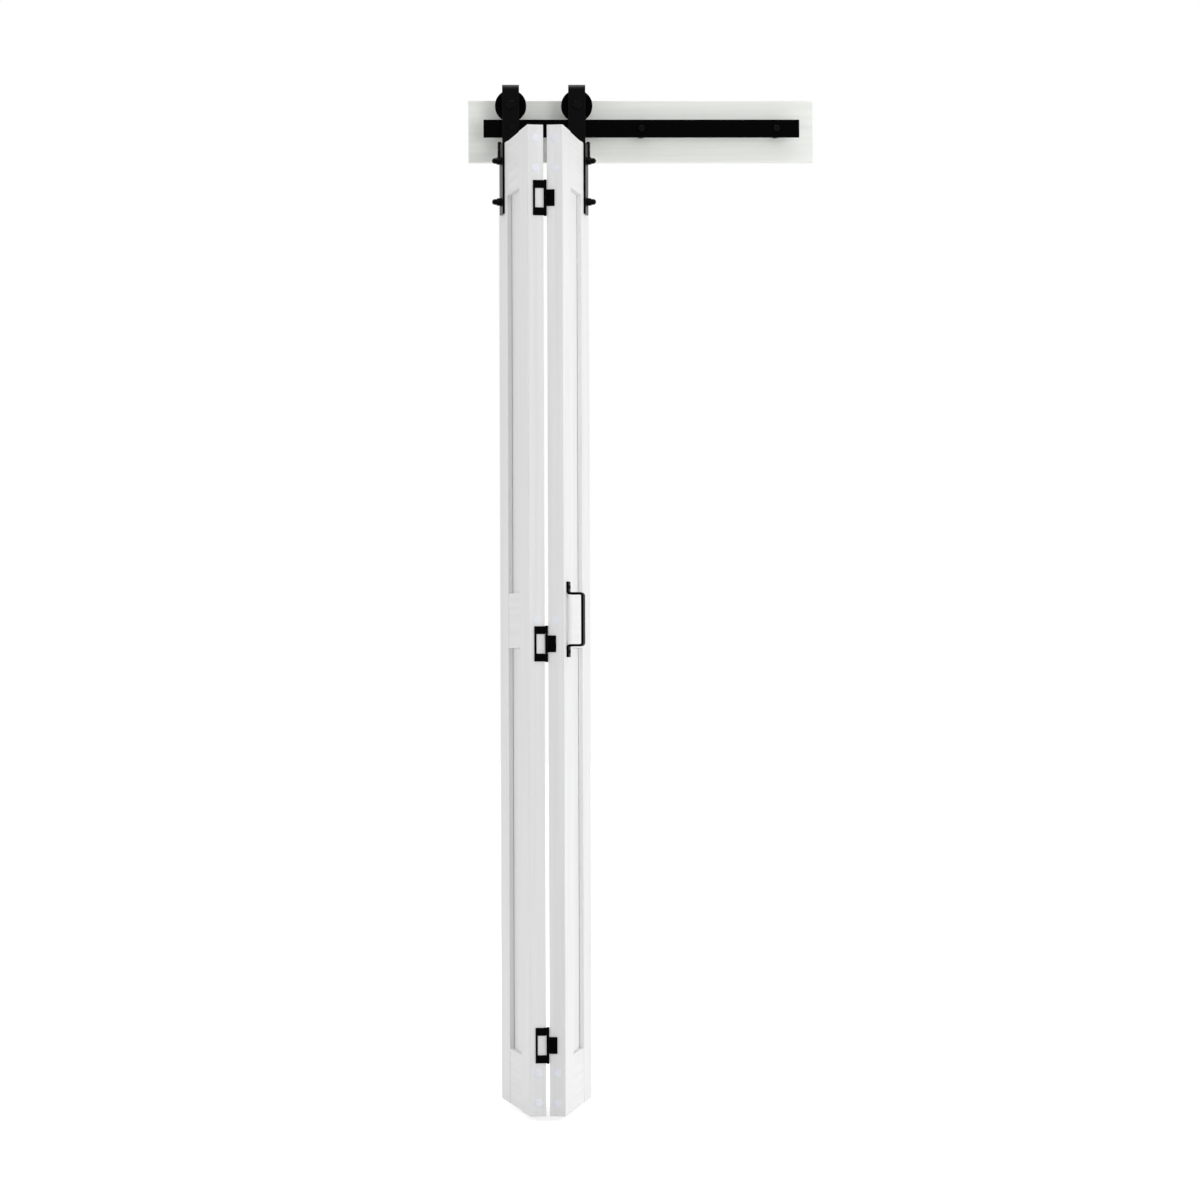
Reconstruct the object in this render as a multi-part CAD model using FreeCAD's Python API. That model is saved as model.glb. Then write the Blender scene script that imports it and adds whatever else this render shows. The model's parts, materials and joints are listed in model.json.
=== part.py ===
import FreeCAD, Part
import math
import os

from FreeCAD import Vector

# Bi-fold barn door hung from a flat wall track. Two framed panels are hinged edge to edge and folded in a V.
# Millimetres. +X is the viewer's right, +Y runs into the wall and +Z is up.
# The origin is the centre of the header board's back face, on the wall.
#
# A panel is drawn flat: x runs from its outer edge to its hinge edge, y from its front face to its back
# face and z up from its bottom edge. It is then swung about its hanger into the folded pose.
# A hanger is drawn about its own axle: x points to the middle of the door, y and z are the door's own.

X = Vector(1, 0, 0)
Y = Vector(0, 1, 0)
Z = Vector(0, 0, 1)

# Header board and track
HEADER_LENGTH = 780.0
HEADER_HEIGHT = 140.0
HEADER_THICKNESS = 19.0
HEADER_EDGE_ROUND = 2.0
TRACK_LENGTH = 710.0
TRACK_HEIGHT = 40.0
TRACK_THICKNESS = 6.0
TRACK_EDGE_ROUND = 0.8
SPACER_LENGTH = 38.0
SPACER_RADIUS = 16.0

# Lag bolts through the track, the spacers and the header into the wall
LAG_END_INSET = 51.0
LAG_RADIUS = 4.0
LAG_FLATS = 13.0
LAG_HEAD = 5.3
LAG_WALL_REACH = 40.0
LAG_THREAD_RADIUS = 3.5
LAG_COLLAR = 2.0
LAG_POINT = 6.0
LAG_WASHER_RADIUS = 8.5
LAG_WASHER = 1.6

# Grooved wheels
WHEEL_RADIUS = 35.0
WHEEL_WIDTH = 20.0
WHEEL_FLANGE = 4.0
WHEEL_TRACK_GAP = 0.2
WHEEL_SIDE_GAP = 1.5
WHEEL_GROOVE_FLARE = 1.0
WHEEL_RIM_CHAMFER = 1.2
WHEEL_RING_RADIUS = 22.5
WHEEL_RING_DEPTH = 1.5
BEARING_RADIUS = 13.0
BEARING_LIP = 2.5
BEARING_LIP_DEPTH = 0.6

# Bent strap hangers
STRAP_WIDTH = 38.0
STRAP_THICKNESS = 5.0
STRAP_BEND = 8.0
STRAP_EDGE_ROUND = 0.6
STRAP_WHEEL_GAP = 7.0
STRAP_DROP = 19.0
LEFT_AXLE_INSET = 61.0

# Axle and lock bolts
AXLE_RADIUS = 5.0
AXLE_FLATS = 17.0
AXLE_HEAD = 6.4
AXLE_NUT = 8.0
AXLE_TAIL = 2.0
AXLE_WASHER_RADIUS = 8.5
AXLE_WASHER = 2.0
LOCK_RADIUS = 4.0
LOCK_FLATS = 13.0
LOCK_HEAD = 5.3
LOCK_OFFSET = 4.0

# Swivels between the hangers and the panels
SWIVEL_OFFSET = 6.0
SWIVEL_KNUCKLE_RADIUS = 4.5
SWIVEL_PIN_RADIUS = 3.0
SWIVEL_UPPER = 4.0
SWIVEL_NEST = 10.0
SWIVEL_LOWER = 34.0
SWIVEL_HEAD_RADIUS = 4.3
SWIVEL_HEAD = 1.5
SWIVEL_ROOM = 1.0
SWIVEL_FACE_GAP = 0.3
HANG_GAP = 1.0

# Panels
PANEL_WIDTH = 354.0
PANEL_HEIGHT = 2134.0
PANEL_THICKNESS = 35.0
PANEL_EDGE_ROUND = 1.5
STILE_WIDTH = 105.0
TOP_RAIL = 121.0
MIDDLE_RAIL = 121.0
BOTTOM_RAIL = 121.0
RAIL_SET_BACK = 1.0
RECESS = 10.0
GROOVE_DEPTH = 10.0
INFILL_ROOM = 1.0
INFILL_FACE_ROOM = 0.75
FOLD_HALF_ANGLE = 10.25

# Frame bolts, their insert nuts and their caps
FRAME_BOLT_RADIUS = 3.0
FRAME_BOLT_HEAD_RADIUS = 5.0
FRAME_BOLT_HEAD = 6.0
FRAME_POCKET_RADIUS = 7.5
FRAME_POCKET = 12.0
FRAME_BOLT_NEAR = 28.5
FRAME_BOLT_FAR = 92.5
OUTER_TOP_BOLT_NEAR = 62.0
OUTER_TOP_BOLT_FAR = 100.0
INSERT_RADIUS = 5.0
INSERT_LENGTH = 24.0
INSERT_END = 2.0
CAP_RADIUS = 9.25
CAP_THICKNESS = 1.0
CAP_CHAMFER = 0.5

# Door plates and their bolts
PLATE_INSET = 37.0
PLATE_WIDTH = 38.0
PLATE_THICKNESS = 5.0
PLATE_LENGTH = 158.0
PLATE_CORNER = 3.0
PLATE_BOLT_UPPER = 38.0
PLATE_BOLT_LOWER = 130.0
PLATE_BOLT_RADIUS = 4.75
PLATE_BOLT_HEAD_RADIUS = 10.0
PLATE_BOLT_HEAD = 4.0
PLATE_BOLT_DOME = 3.0
PLATE_BOLT_SOCKET = 6.0
PLATE_BOLT_SOCKET_DEPTH = 2.5
PLATE_WASHER_RADIUS = 10.0
PLATE_WASHER = 1.5
CAP_NUT_FLATS = 16.0
CAP_NUT_HEX = 8.0
CAP_NUT_DOME_RADIUS = 6.5
CAP_NUT_DOME = 11.0
CAP_NUT_WALL = 3.5

# Nesting hinges
PANEL_GAP = 3.0
HINGE_BELOW_TOP = 158.0
HINGE_MIDDLE_DROP = 53.0
HINGE_ABOVE_BOTTOM = 152.0
HINGE_HEIGHT = 76.0
HINGE_LEAF = 2.0
HINGE_OUTER_REACH = 26.5
HINGE_INNER_REACH = 20.5
HINGE_INNER_HEIGHT = 36.0
HINGE_FRAME_BAR = 4.5
HINGE_END_BAR = 17.0
HINGE_CORNER = 1.0
HINGE_KNUCKLE_RADIUS = 3.5
HINGE_KNUCKLE_GAP = 0.3
HINGE_PIN_RADIUS = 1.8
HINGE_PIN_HEAD_RADIUS = 3.0
HINGE_PIN_HEAD = 1.2
HINGE_SCREW_RADIUS = 1.75
HINGE_SCREW_HEAD_RADIUS = 3.4
HINGE_SCREW_LENGTH = 20.0
HINGE_OUTER_SCREW = 14.5
HINGE_INNER_SCREW = 12.5
HINGE_INNER_SCREW_RISE = 10.0

# Pull handle
HANDLE_HEIGHT = 163.0
HANDLE_WIDTH = 25.0
HANDLE_THICKNESS = 5.0
HANDLE_STAND_OFF = 37.0
HANDLE_FOOT = 23.0
HANDLE_BEND = 3.0
HANDLE_INSET = 28.0
HANDLE_SCREW_RADIUS = 2.0
HANDLE_SCREW_LENGTH = 22.0
HANDLE_SCREW_HEAD_RADIUS = 4.5
HANDLE_SCREW_HEAD = 2.4
HANDLE_SCREW_ROUND = 1.6

# Clearances
THREAD_FIT = 0.02
RUNNING_FIT = 0.05
BOLT_CLEARANCE = 0.3

# Places worked out from the sizes above
header_front_y = -HEADER_THICKNESS
track_back_y = header_front_y - SPACER_LENGTH
track_front_y = track_back_y - TRACK_THICKNESS
track_middle_y = (track_back_y + track_front_y) / 2
lag_spacing = TRACK_LENGTH / 2 - LAG_END_INSET
lag_places = (-lag_spacing, 0.0, lag_spacing)

wheel_root_radius = WHEEL_RADIUS - WHEEL_FLANGE
axle_z = TRACK_HEIGHT / 2 + WHEEL_TRACK_GAP + wheel_root_radius
strap_gap = WHEEL_WIDTH + 2 * AXLE_WASHER
strap_front_y = track_middle_y - strap_gap / 2
strap_face_y = strap_front_y - STRAP_THICKNESS
strap_back_y = track_middle_y + strap_gap / 2
strap_rear_y = strap_back_y + STRAP_THICKNESS
strap_top_z = axle_z + WHEEL_RADIUS + STRAP_WHEEL_GAP + STRAP_THICKNESS
strap_bottom_z = -TRACK_HEIGHT / 2 - STRAP_DROP

panel_top_z = strap_bottom_z - HANG_GAP
panel_bottom_z = panel_top_z - PANEL_HEIGHT
swivel_x = -STRAP_WIDTH / 2 - SWIVEL_OFFSET
swivel_stand_off = SWIVEL_KNUCKLE_RADIUS + SWIVEL_FACE_GAP
swivel_y = strap_front_y - swivel_stand_off

hinge_pin_x = PANEL_WIDTH + PANEL_GAP / 2
hinge_pin_y = PANEL_THICKNESS + HINGE_KNUCKLE_RADIUS
hinge_places = (HINGE_ABOVE_BOTTOM, PANEL_HEIGHT / 2 - HINGE_MIDDLE_DROP, PANEL_HEIGHT - HINGE_BELOW_TOP)
panel_middle_y = PANEL_THICKNESS / 2

# The left hanger is the fixed pivot. The V is symmetrical about the hinge pins, so they place the right one.
fold_swing = 90.0 - FOLD_HALF_ANGLE
left_axle_x = -TRACK_LENGTH / 2 + LEFT_AXLE_INSET
left_swivel_x = left_axle_x + swivel_x
pin_along = hinge_pin_x - PLATE_INSET
pin_across = hinge_pin_y + swivel_stand_off
swing_cos = math.cos(math.radians(fold_swing))
swing_sin = math.sin(math.radians(fold_swing))
fold_middle_x = left_swivel_x + pin_along * swing_cos + pin_across * swing_sin
right_axle_x = 2 * fold_middle_x - left_axle_x
right_swivel_x = 2 * fold_middle_x - left_swivel_x


def block(x, y, z):
    """A box between the two values of each pair."""
    size = Vector(x[1] - x[0], y[1] - y[0], z[1] - z[0])
    return Part.makeBox(size.x, size.y, size.z, Vector(x[0], y[0], z[0]))


def rod(radius, start, end):
    """A round bar from one point to another."""
    return Part.makeCylinder(radius, (end - start).Length, start, end - start)


def ring(radius, bore, start, end):
    """A round bar with a hole along its axis."""
    return rod(radius, start, end).cut(rod(bore, start, end))


def hexagon(flats, start, end):
    """A six-sided bar whose corners are turned down at its far end, as on a bolt head or a nut."""
    corner = flats / math.sqrt(3)
    points = []
    for side in range(7):
        angle = math.radians(60 * side)
        points.append(Vector(corner * math.cos(angle), corner * math.sin(angle), 0))
    length = (end - start).Length
    bar = Part.Face(Part.makePolygon(points)).extrude(Vector(0, 0, length))
    turned = Part.makeCylinder(corner, length)
    far_rim = [e for e in turned.Edges if abs(e.CenterOfMass.z - length) < 1e-6]
    turned = turned.makeChamfer(corner - flats / 2, far_rim)
    bar = bar.common(turned)
    bar.Placement = FreeCAD.Placement(start, FreeCAD.Rotation(Vector(0, 0, 1), end - start))
    return bar


def edges_along(shape, direction):
    """The straight edges of a shape that run along a direction."""
    found = []
    for edge in shape.Edges:
        straight = edge.Curve.TypeId == "Part::GeomLine"
        if straight and abs(edge.tangentAt(edge.FirstParameter).dot(direction)) > 0.999:
            found.append(edge)
    return found


def edges_only(shape, direction):
    """A compound of the straight edges of a shape that run along a direction."""
    return Part.makeCompound(edges_along(shape, direction))


def edges_in_plane(shape, normal, distance):
    """The edges of a shape that lie in the plane at a distance along a normal."""
    found = []
    for edge in shape.Edges:
        heights = [vertex.Point.dot(normal) for vertex in edge.Vertexes]
        if all(abs(height - distance) < 1e-6 for height in heights):
            found.append(edge)
    return found


def drilled(shape, holes):
    """A shape with every hole cut out of it."""
    for hole in holes:
        shape = shape.cut(hole)
    return shape


def joined(shapes):
    """Overlapping shapes fused into one solid."""
    whole = shapes[0]
    for shape in shapes[1:]:
        whole = whole.fuse(shape)
    return whole.removeSplitter()


def group(shapes):
    """Like pieces kept as separate solids in one node."""
    return Part.makeCompound(shapes)


# Header, track and what holds them to the wall


def header_board():
    board = block(
        (-HEADER_LENGTH / 2, HEADER_LENGTH / 2),
        (header_front_y, 0),
        (-HEADER_HEIGHT / 2, HEADER_HEIGHT / 2),
    )
    board = board.makeFillet(HEADER_EDGE_ROUND, board.Edges)
    holes = [rod(LAG_RADIUS + THREAD_FIT, Vector(x, header_front_y, 0), Vector(x, 0, 0)) for x in lag_places]
    return drilled(board, holes)


def track_rail():
    bar = block(
        (-TRACK_LENGTH / 2, TRACK_LENGTH / 2),
        (track_front_y, track_back_y),
        (-TRACK_HEIGHT / 2, TRACK_HEIGHT / 2),
    )
    bar = bar.makeFillet(TRACK_EDGE_ROUND, edges_along(bar, X))
    bore = LAG_RADIUS + BOLT_CLEARANCE
    holes = [rod(bore, Vector(x, track_front_y, 0), Vector(x, track_back_y, 0)) for x in lag_places]
    return drilled(bar, holes)


def track_spacers():
    bore = LAG_RADIUS + BOLT_CLEARANCE
    return group([
        ring(SPACER_RADIUS, bore, Vector(x, track_back_y, 0), Vector(x, header_front_y, 0))
        for x in lag_places
    ])


def track_washers():
    bore = LAG_RADIUS + BOLT_CLEARANCE
    return group([
        ring(LAG_WASHER_RADIUS, bore, Vector(x, track_front_y - LAG_WASHER, 0), Vector(x, track_front_y, 0))
        for x in lag_places
    ])


def track_lag_bolts():
    """A plain shank through to the wall, then the thread at its mean radius, and a blunt point."""
    seat_y = track_front_y - LAG_WASHER
    point_y = LAG_WALL_REACH - LAG_POINT
    bolts = []
    for x in lag_places:
        head = hexagon(LAG_FLATS, Vector(x, seat_y, 0), Vector(x, seat_y - LAG_HEAD, 0))
        shank = rod(LAG_RADIUS, Vector(x, seat_y - LAG_HEAD / 2, 0), Vector(x, LAG_COLLAR, 0))
        thread = rod(LAG_THREAD_RADIUS, Vector(x, 0, 0), Vector(x, point_y, 0))
        point = Part.makeCone(LAG_THREAD_RADIUS, LAG_THREAD_RADIUS / 4, LAG_POINT, Vector(x, point_y, 0), Y)
        bolts.append(joined([head, shank, thread, point]))
    return group(bolts)


# Hangers, drawn about their own axle


def strap_profile():
    """The bent strap's section: a short leg behind the wheel, a U over it and a long leg in front."""
    outer = STRAP_BEND + STRAP_THICKNESS
    slant = math.sqrt(0.5)
    bend_z = strap_top_z - outer
    inner_top_z = strap_top_z - STRAP_THICKNESS
    front_centre_y = strap_front_y + STRAP_BEND
    back_centre_y = strap_back_y - STRAP_BEND
    leg_end_z = axle_z - STRAP_WIDTH / 2

    def at(y, z):
        return Vector(0, y, z)

    def bend(first, centre_y, reach, side, last):
        middle = at(centre_y + side * reach * slant, bend_z + reach * slant)
        return Part.Arc(first, middle, last).toShape()

    def line(first, last):
        return Part.LineSegment(first, last).toShape()

    front_low = at(strap_face_y, strap_bottom_z)
    front_high = at(strap_face_y, bend_z)
    top_front = at(front_centre_y, strap_top_z)
    top_back = at(back_centre_y, strap_top_z)
    rear_high = at(strap_rear_y, bend_z)
    rear_low = at(strap_rear_y, leg_end_z)
    inner_rear_low = at(strap_back_y, leg_end_z)
    inner_rear_high = at(strap_back_y, bend_z)
    under_back = at(back_centre_y, inner_top_z)
    under_front = at(front_centre_y, inner_top_z)
    inner_front_high = at(strap_front_y, bend_z)
    inner_front_low = at(strap_front_y, strap_bottom_z)
    edges = [
        line(front_low, front_high),
        bend(front_high, front_centre_y, outer, -1, top_front),
        line(top_front, top_back),
        bend(top_back, back_centre_y, outer, 1, rear_high),
        line(rear_high, rear_low),
        line(rear_low, inner_rear_low),
        line(inner_rear_low, inner_rear_high),
        bend(inner_rear_high, back_centre_y, STRAP_BEND, 1, under_back),
        line(under_back, under_front),
        bend(under_front, front_centre_y, STRAP_BEND, -1, inner_front_high),
        line(inner_front_high, inner_front_low),
        line(inner_front_low, front_low),
    ]
    return Part.Face(Part.Wire(edges))


def hanger_strap(locked):
    half = STRAP_WIDTH / 2
    section = strap_profile()
    section.translate(Vector(-half, 0, 0))
    strap = section.extrude(Vector(STRAP_WIDTH, 0, 0))

    # The short leg ends in a half round about the axle.
    end_square = block((-half, half), (strap_back_y, strap_rear_y), (axle_z - half, axle_z))
    end_round = rod(half, Vector(0, strap_back_y, axle_z), Vector(0, strap_rear_y, axle_z))
    strap = strap.cut(end_square.cut(end_round))
    side_edges = edges_in_plane(strap, X, half) + edges_in_plane(strap, X, -half)
    strap = strap.makeFillet(STRAP_EDGE_ROUND, side_edges)

    # An ear at the foot of the long leg carries the upper knuckle, which reaches down the panel's face.
    knuckle_low = Vector(swivel_x, swivel_y, panel_top_z - SWIVEL_NEST)
    knuckle_high = Vector(swivel_x, swivel_y, strap_bottom_z + SWIVEL_UPPER)
    ear = block(
        (swivel_x, -half + STRAP_THICKNESS),
        (strap_face_y, strap_front_y),
        (strap_bottom_z, knuckle_high.z),
    )
    strap = joined([strap, ear, rod(SWIVEL_KNUCKLE_RADIUS, knuckle_low, knuckle_high)])
    bore = AXLE_RADIUS + RUNNING_FIT
    holes = [
        rod(bore, Vector(0, strap_face_y, axle_z), Vector(0, strap_rear_y, axle_z)),
        rod(SWIVEL_PIN_RADIUS + THREAD_FIT, knuckle_low, knuckle_high),
    ]
    if locked:
        lock_start = Vector(LOCK_OFFSET, strap_face_y, 0)
        lock_end = Vector(LOCK_OFFSET, strap_front_y, 0)
        holes.append(rod(LOCK_RADIUS + THREAD_FIT, lock_start, lock_end))
    return drilled(strap, holes)


def axle_bolt():
    head = hexagon(AXLE_FLATS, Vector(0, strap_face_y, axle_z), Vector(0, strap_face_y - AXLE_HEAD, axle_z))
    tail_y = strap_rear_y + AXLE_NUT + AXLE_TAIL
    shank = rod(AXLE_RADIUS, Vector(0, strap_face_y - AXLE_HEAD / 2, axle_z), Vector(0, tail_y, axle_z))
    return joined([head, shank])


def axle_nut():
    nut = hexagon(AXLE_FLATS, Vector(0, strap_rear_y, axle_z), Vector(0, strap_rear_y + AXLE_NUT, axle_z))
    bore = rod(
        AXLE_RADIUS + THREAD_FIT,
        Vector(0, strap_rear_y, axle_z),
        Vector(0, strap_rear_y + AXLE_NUT, axle_z),
    )
    return nut.cut(bore)


def axle_washers():
    washers = []
    for seat_y in (strap_front_y, strap_back_y - AXLE_WASHER):
        start = Vector(0, seat_y, axle_z)
        end = Vector(0, seat_y + AXLE_WASHER, axle_z)
        washers.append(ring(AXLE_WASHER_RADIUS, AXLE_RADIUS + RUNNING_FIT, start, end))
    return group(washers)


def lock_bolt():
    x = LOCK_OFFSET
    head = hexagon(LOCK_FLATS, Vector(x, strap_face_y, 0), Vector(x, strap_face_y - LOCK_HEAD, 0))
    shank = rod(LOCK_RADIUS, Vector(x, strap_face_y - LOCK_HEAD / 2, 0), Vector(x, track_front_y, 0))
    return joined([head, shank])


def revolved(outline):
    """A closed outline of radius and width, turned about the axle."""
    points = [Vector(0, track_middle_y + width, axle_z + radius) for radius, width in outline]
    face = Part.Face(Part.makePolygon(points + points[:1]))
    return face.revolve(Vector(0, track_middle_y, axle_z), Y, 360)


def wheel():
    half = WHEEL_WIDTH / 2
    web = half - WHEEL_RING_DEPTH
    root = TRACK_THICKNESS / 2 + WHEEL_SIDE_GAP
    mouth = root + WHEEL_GROOVE_FLARE
    shoulder = half - WHEEL_RIM_CHAMFER
    rim = WHEEL_RADIUS - WHEEL_RIM_CHAMFER
    side = [
        (wheel_root_radius, root),
        (WHEEL_RADIUS, mouth),
        (WHEEL_RADIUS, shoulder),
        (rim, half),
        (WHEEL_RING_RADIUS, half),
        (WHEEL_RING_RADIUS, web),
        (BEARING_RADIUS, web),
    ]
    other_side = [(radius, -width) for radius, width in reversed(side)]
    return revolved(side + other_side)


def wheel_bearing():
    half = WHEEL_WIDTH / 2
    bore = AXLE_RADIUS + RUNNING_FIT
    shield = half - BEARING_LIP_DEPTH
    inner_lip = AXLE_WASHER_RADIUS + BEARING_LIP_DEPTH
    outer_lip = BEARING_RADIUS - BEARING_LIP
    side = [
        (BEARING_RADIUS, half),
        (outer_lip, half),
        (outer_lip, shield),
        (inner_lip, shield),
        (inner_lip, half),
        (bore, half),
    ]
    other_side = [(radius, -width) for radius, width in reversed(side)]
    return revolved(side + other_side)


def swivel_pin():
    """The pin hangs in the strap's knuckle by its peened top and carries the door plate on its lower head."""
    low_z = panel_top_z - SWIVEL_LOWER
    high_z = strap_bottom_z + SWIVEL_UPPER
    shank = rod(SWIVEL_PIN_RADIUS, Vector(swivel_x, swivel_y, low_z), Vector(swivel_x, swivel_y, high_z))
    heads = []
    for seat_z, way in ((low_z, -1), (high_z, 1)):
        end = Vector(swivel_x, swivel_y, seat_z + way * SWIVEL_HEAD)
        head = rod(SWIVEL_HEAD_RADIUS, Vector(swivel_x, swivel_y, seat_z), end)
        far_rim = edges_in_plane(head, Z, seat_z + way * SWIVEL_HEAD)
        heads.append(head.makeFillet(SWIVEL_HEAD / 2, far_rim))
    return joined([shank] + heads)


# Panel frames


def bolt_places(at_hinge):
    """Heights of the frame bolts along one edge. The outer edge's upper pair clears the plate bolts."""
    top_pair = (FRAME_BOLT_NEAR, FRAME_BOLT_FAR) if at_hinge else (OUTER_TOP_BOLT_NEAR, OUTER_TOP_BOLT_FAR)
    low = [FRAME_BOLT_NEAR, FRAME_BOLT_FAR]
    high = [PANEL_HEIGHT - inset for inset in top_pair]
    return low + [PANEL_HEIGHT / 2] + high


def edge_point(at_hinge, depth, z):
    """A point at a depth below one edge of the panel, at mid thickness."""
    x = PANEL_WIDTH - depth if at_hinge else depth
    return Vector(x, panel_middle_y, z)


def edge_rod(at_hinge, radius, first_depth, last_depth, z):
    return rod(radius, edge_point(at_hinge, first_depth, z), edge_point(at_hinge, last_depth, z))


def plate_bolt_places():
    x = PLATE_INSET + PLATE_WIDTH / 2
    return [(x, PANEL_HEIGHT - PLATE_BOLT_UPPER), (x, PANEL_HEIGHT - PLATE_BOLT_LOWER)]


def stile(at_hinge):
    near = PANEL_WIDTH - STILE_WIDTH if at_hinge else 0.0
    body = block((near, near + STILE_WIDTH), (0, PANEL_THICKNESS), (0, PANEL_HEIGHT))
    body = body.makeFillet(PANEL_EDGE_ROUND, edges_along(body, Z))
    groove_x = near if at_hinge else STILE_WIDTH - GROOVE_DEPTH
    groove = block(
        (groove_x, groove_x + GROOVE_DEPTH),
        (RECESS, PANEL_THICKNESS - RECESS),
        (0, PANEL_HEIGHT),
    )
    holes = [groove]
    for z in bolt_places(at_hinge):
        holes.append(edge_rod(at_hinge, FRAME_POCKET_RADIUS, 0, FRAME_POCKET, z))
        holes.append(edge_rod(at_hinge, FRAME_BOLT_RADIUS + BOLT_CLEARANCE, 0, STILE_WIDTH, z))
    return drilled(body, holes)


def outer_stile():
    bore = PLATE_BOLT_RADIUS + BOLT_CLEARANCE
    holes = [rod(bore, Vector(x, 0, z), Vector(x, PANEL_THICKNESS, z)) for x, z in plate_bolt_places()]
    return drilled(stile(False), holes)


def hinge_stile(screw_places):
    bore = HINGE_SCREW_RADIUS + THREAD_FIT
    holes = []
    for y, z in screw_places:
        holes.append(rod(bore, Vector(PANEL_WIDTH - HINGE_SCREW_LENGTH, y, z), Vector(PANEL_WIDTH, y, z)))
    return drilled(stile(True), holes)


def rail(low, high, grooved_below, grooved_above):
    """A rail between the stiles, its faces just below theirs, with stub tenons that fill their grooves."""
    shoulders = (STILE_WIDTH, PANEL_WIDTH - STILE_WIDTH)
    tenons = (STILE_WIDTH - GROOVE_DEPTH, PANEL_WIDTH - STILE_WIDTH + GROOVE_DEPTH)
    body = block(shoulders, (RAIL_SET_BACK, PANEL_THICKNESS - RAIL_SET_BACK), (low, high))
    body = body.makeFillet(PANEL_EDGE_ROUND, edges_along(body, X))
    tongue = (RECESS, PANEL_THICKNESS - RECESS)
    body = joined([body, block(tenons, tongue, (low, high))])
    cuts = []
    if grooved_below:
        cuts.append(block(tenons, tongue, (low, low + GROOVE_DEPTH)))
    if grooved_above:
        cuts.append(block(tenons, tongue, (high - GROOVE_DEPTH, high)))
    tenon_depth = STILE_WIDTH - GROOVE_DEPTH
    for at_hinge in (False, True):
        for z in bolt_places(at_hinge):
            if low < z < high:
                radius = INSERT_RADIUS + THREAD_FIT
                cuts.append(edge_rod(at_hinge, radius, tenon_depth, tenon_depth + INSERT_LENGTH, z))
    return drilled(body, cuts)


def bottom_rail():
    return rail(0, BOTTOM_RAIL, False, True)


def middle_rail():
    return rail(PANEL_HEIGHT / 2 - MIDDLE_RAIL / 2, PANEL_HEIGHT / 2 + MIDDLE_RAIL / 2, True, True)


def top_rail():
    return rail(PANEL_HEIGHT - TOP_RAIL, PANEL_HEIGHT, True, False)


def infill(low, high):
    """A flat board that floats in the grooves with room all round and stands on the rail below it."""
    hold = GROOVE_DEPTH - INFILL_ROOM
    return block(
        (STILE_WIDTH - hold, PANEL_WIDTH - STILE_WIDTH + hold),
        (RECESS + INFILL_FACE_ROOM, PANEL_THICKNESS - RECESS - INFILL_FACE_ROOM),
        (low - GROOVE_DEPTH, high + hold),
    )


def lower_infill():
    return infill(BOTTOM_RAIL, PANEL_HEIGHT / 2 - MIDDLE_RAIL / 2)


def upper_infill():
    return infill(PANEL_HEIGHT / 2 + MIDDLE_RAIL / 2, PANEL_HEIGHT - TOP_RAIL)


def frame_bolts():
    tip = STILE_WIDTH - GROOVE_DEPTH + INSERT_LENGTH - INSERT_END
    bolts = []
    for at_hinge in (False, True):
        for z in bolt_places(at_hinge):
            head = edge_rod(at_hinge, FRAME_BOLT_HEAD_RADIUS, FRAME_POCKET - FRAME_BOLT_HEAD, FRAME_POCKET, z)
            shank = edge_rod(at_hinge, FRAME_BOLT_RADIUS, FRAME_POCKET - FRAME_BOLT_HEAD / 2, tip, z)
            bolts.append(joined([head, shank]))
    return group(bolts)


def insert_nuts():
    """Blind threaded inserts, closed at their inner end."""
    near = STILE_WIDTH - GROOVE_DEPTH
    far = near + INSERT_LENGTH
    nuts = []
    for at_hinge in (False, True):
        for z in bolt_places(at_hinge):
            body = edge_rod(at_hinge, INSERT_RADIUS, near, far, z)
            thread = edge_rod(at_hinge, FRAME_BOLT_RADIUS + THREAD_FIT, near, far - INSERT_END, z)
            nuts.append(body.cut(thread))
    return group(nuts)


def bolt_caps():
    caps = []
    for at_hinge in (False, True):
        outward = 1 if at_hinge else -1
        for z in bolt_places(at_hinge):
            cap = edge_rod(at_hinge, CAP_RADIUS, 0, -CAP_THICKNESS, z)
            face_x = edge_point(at_hinge, 0, z).x + outward * CAP_THICKNESS
            caps.append(cap.makeChamfer(CAP_CHAMFER, edges_in_plane(cap, X, face_x)))
    return group(caps)


# Door plates and their fasteners


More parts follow.
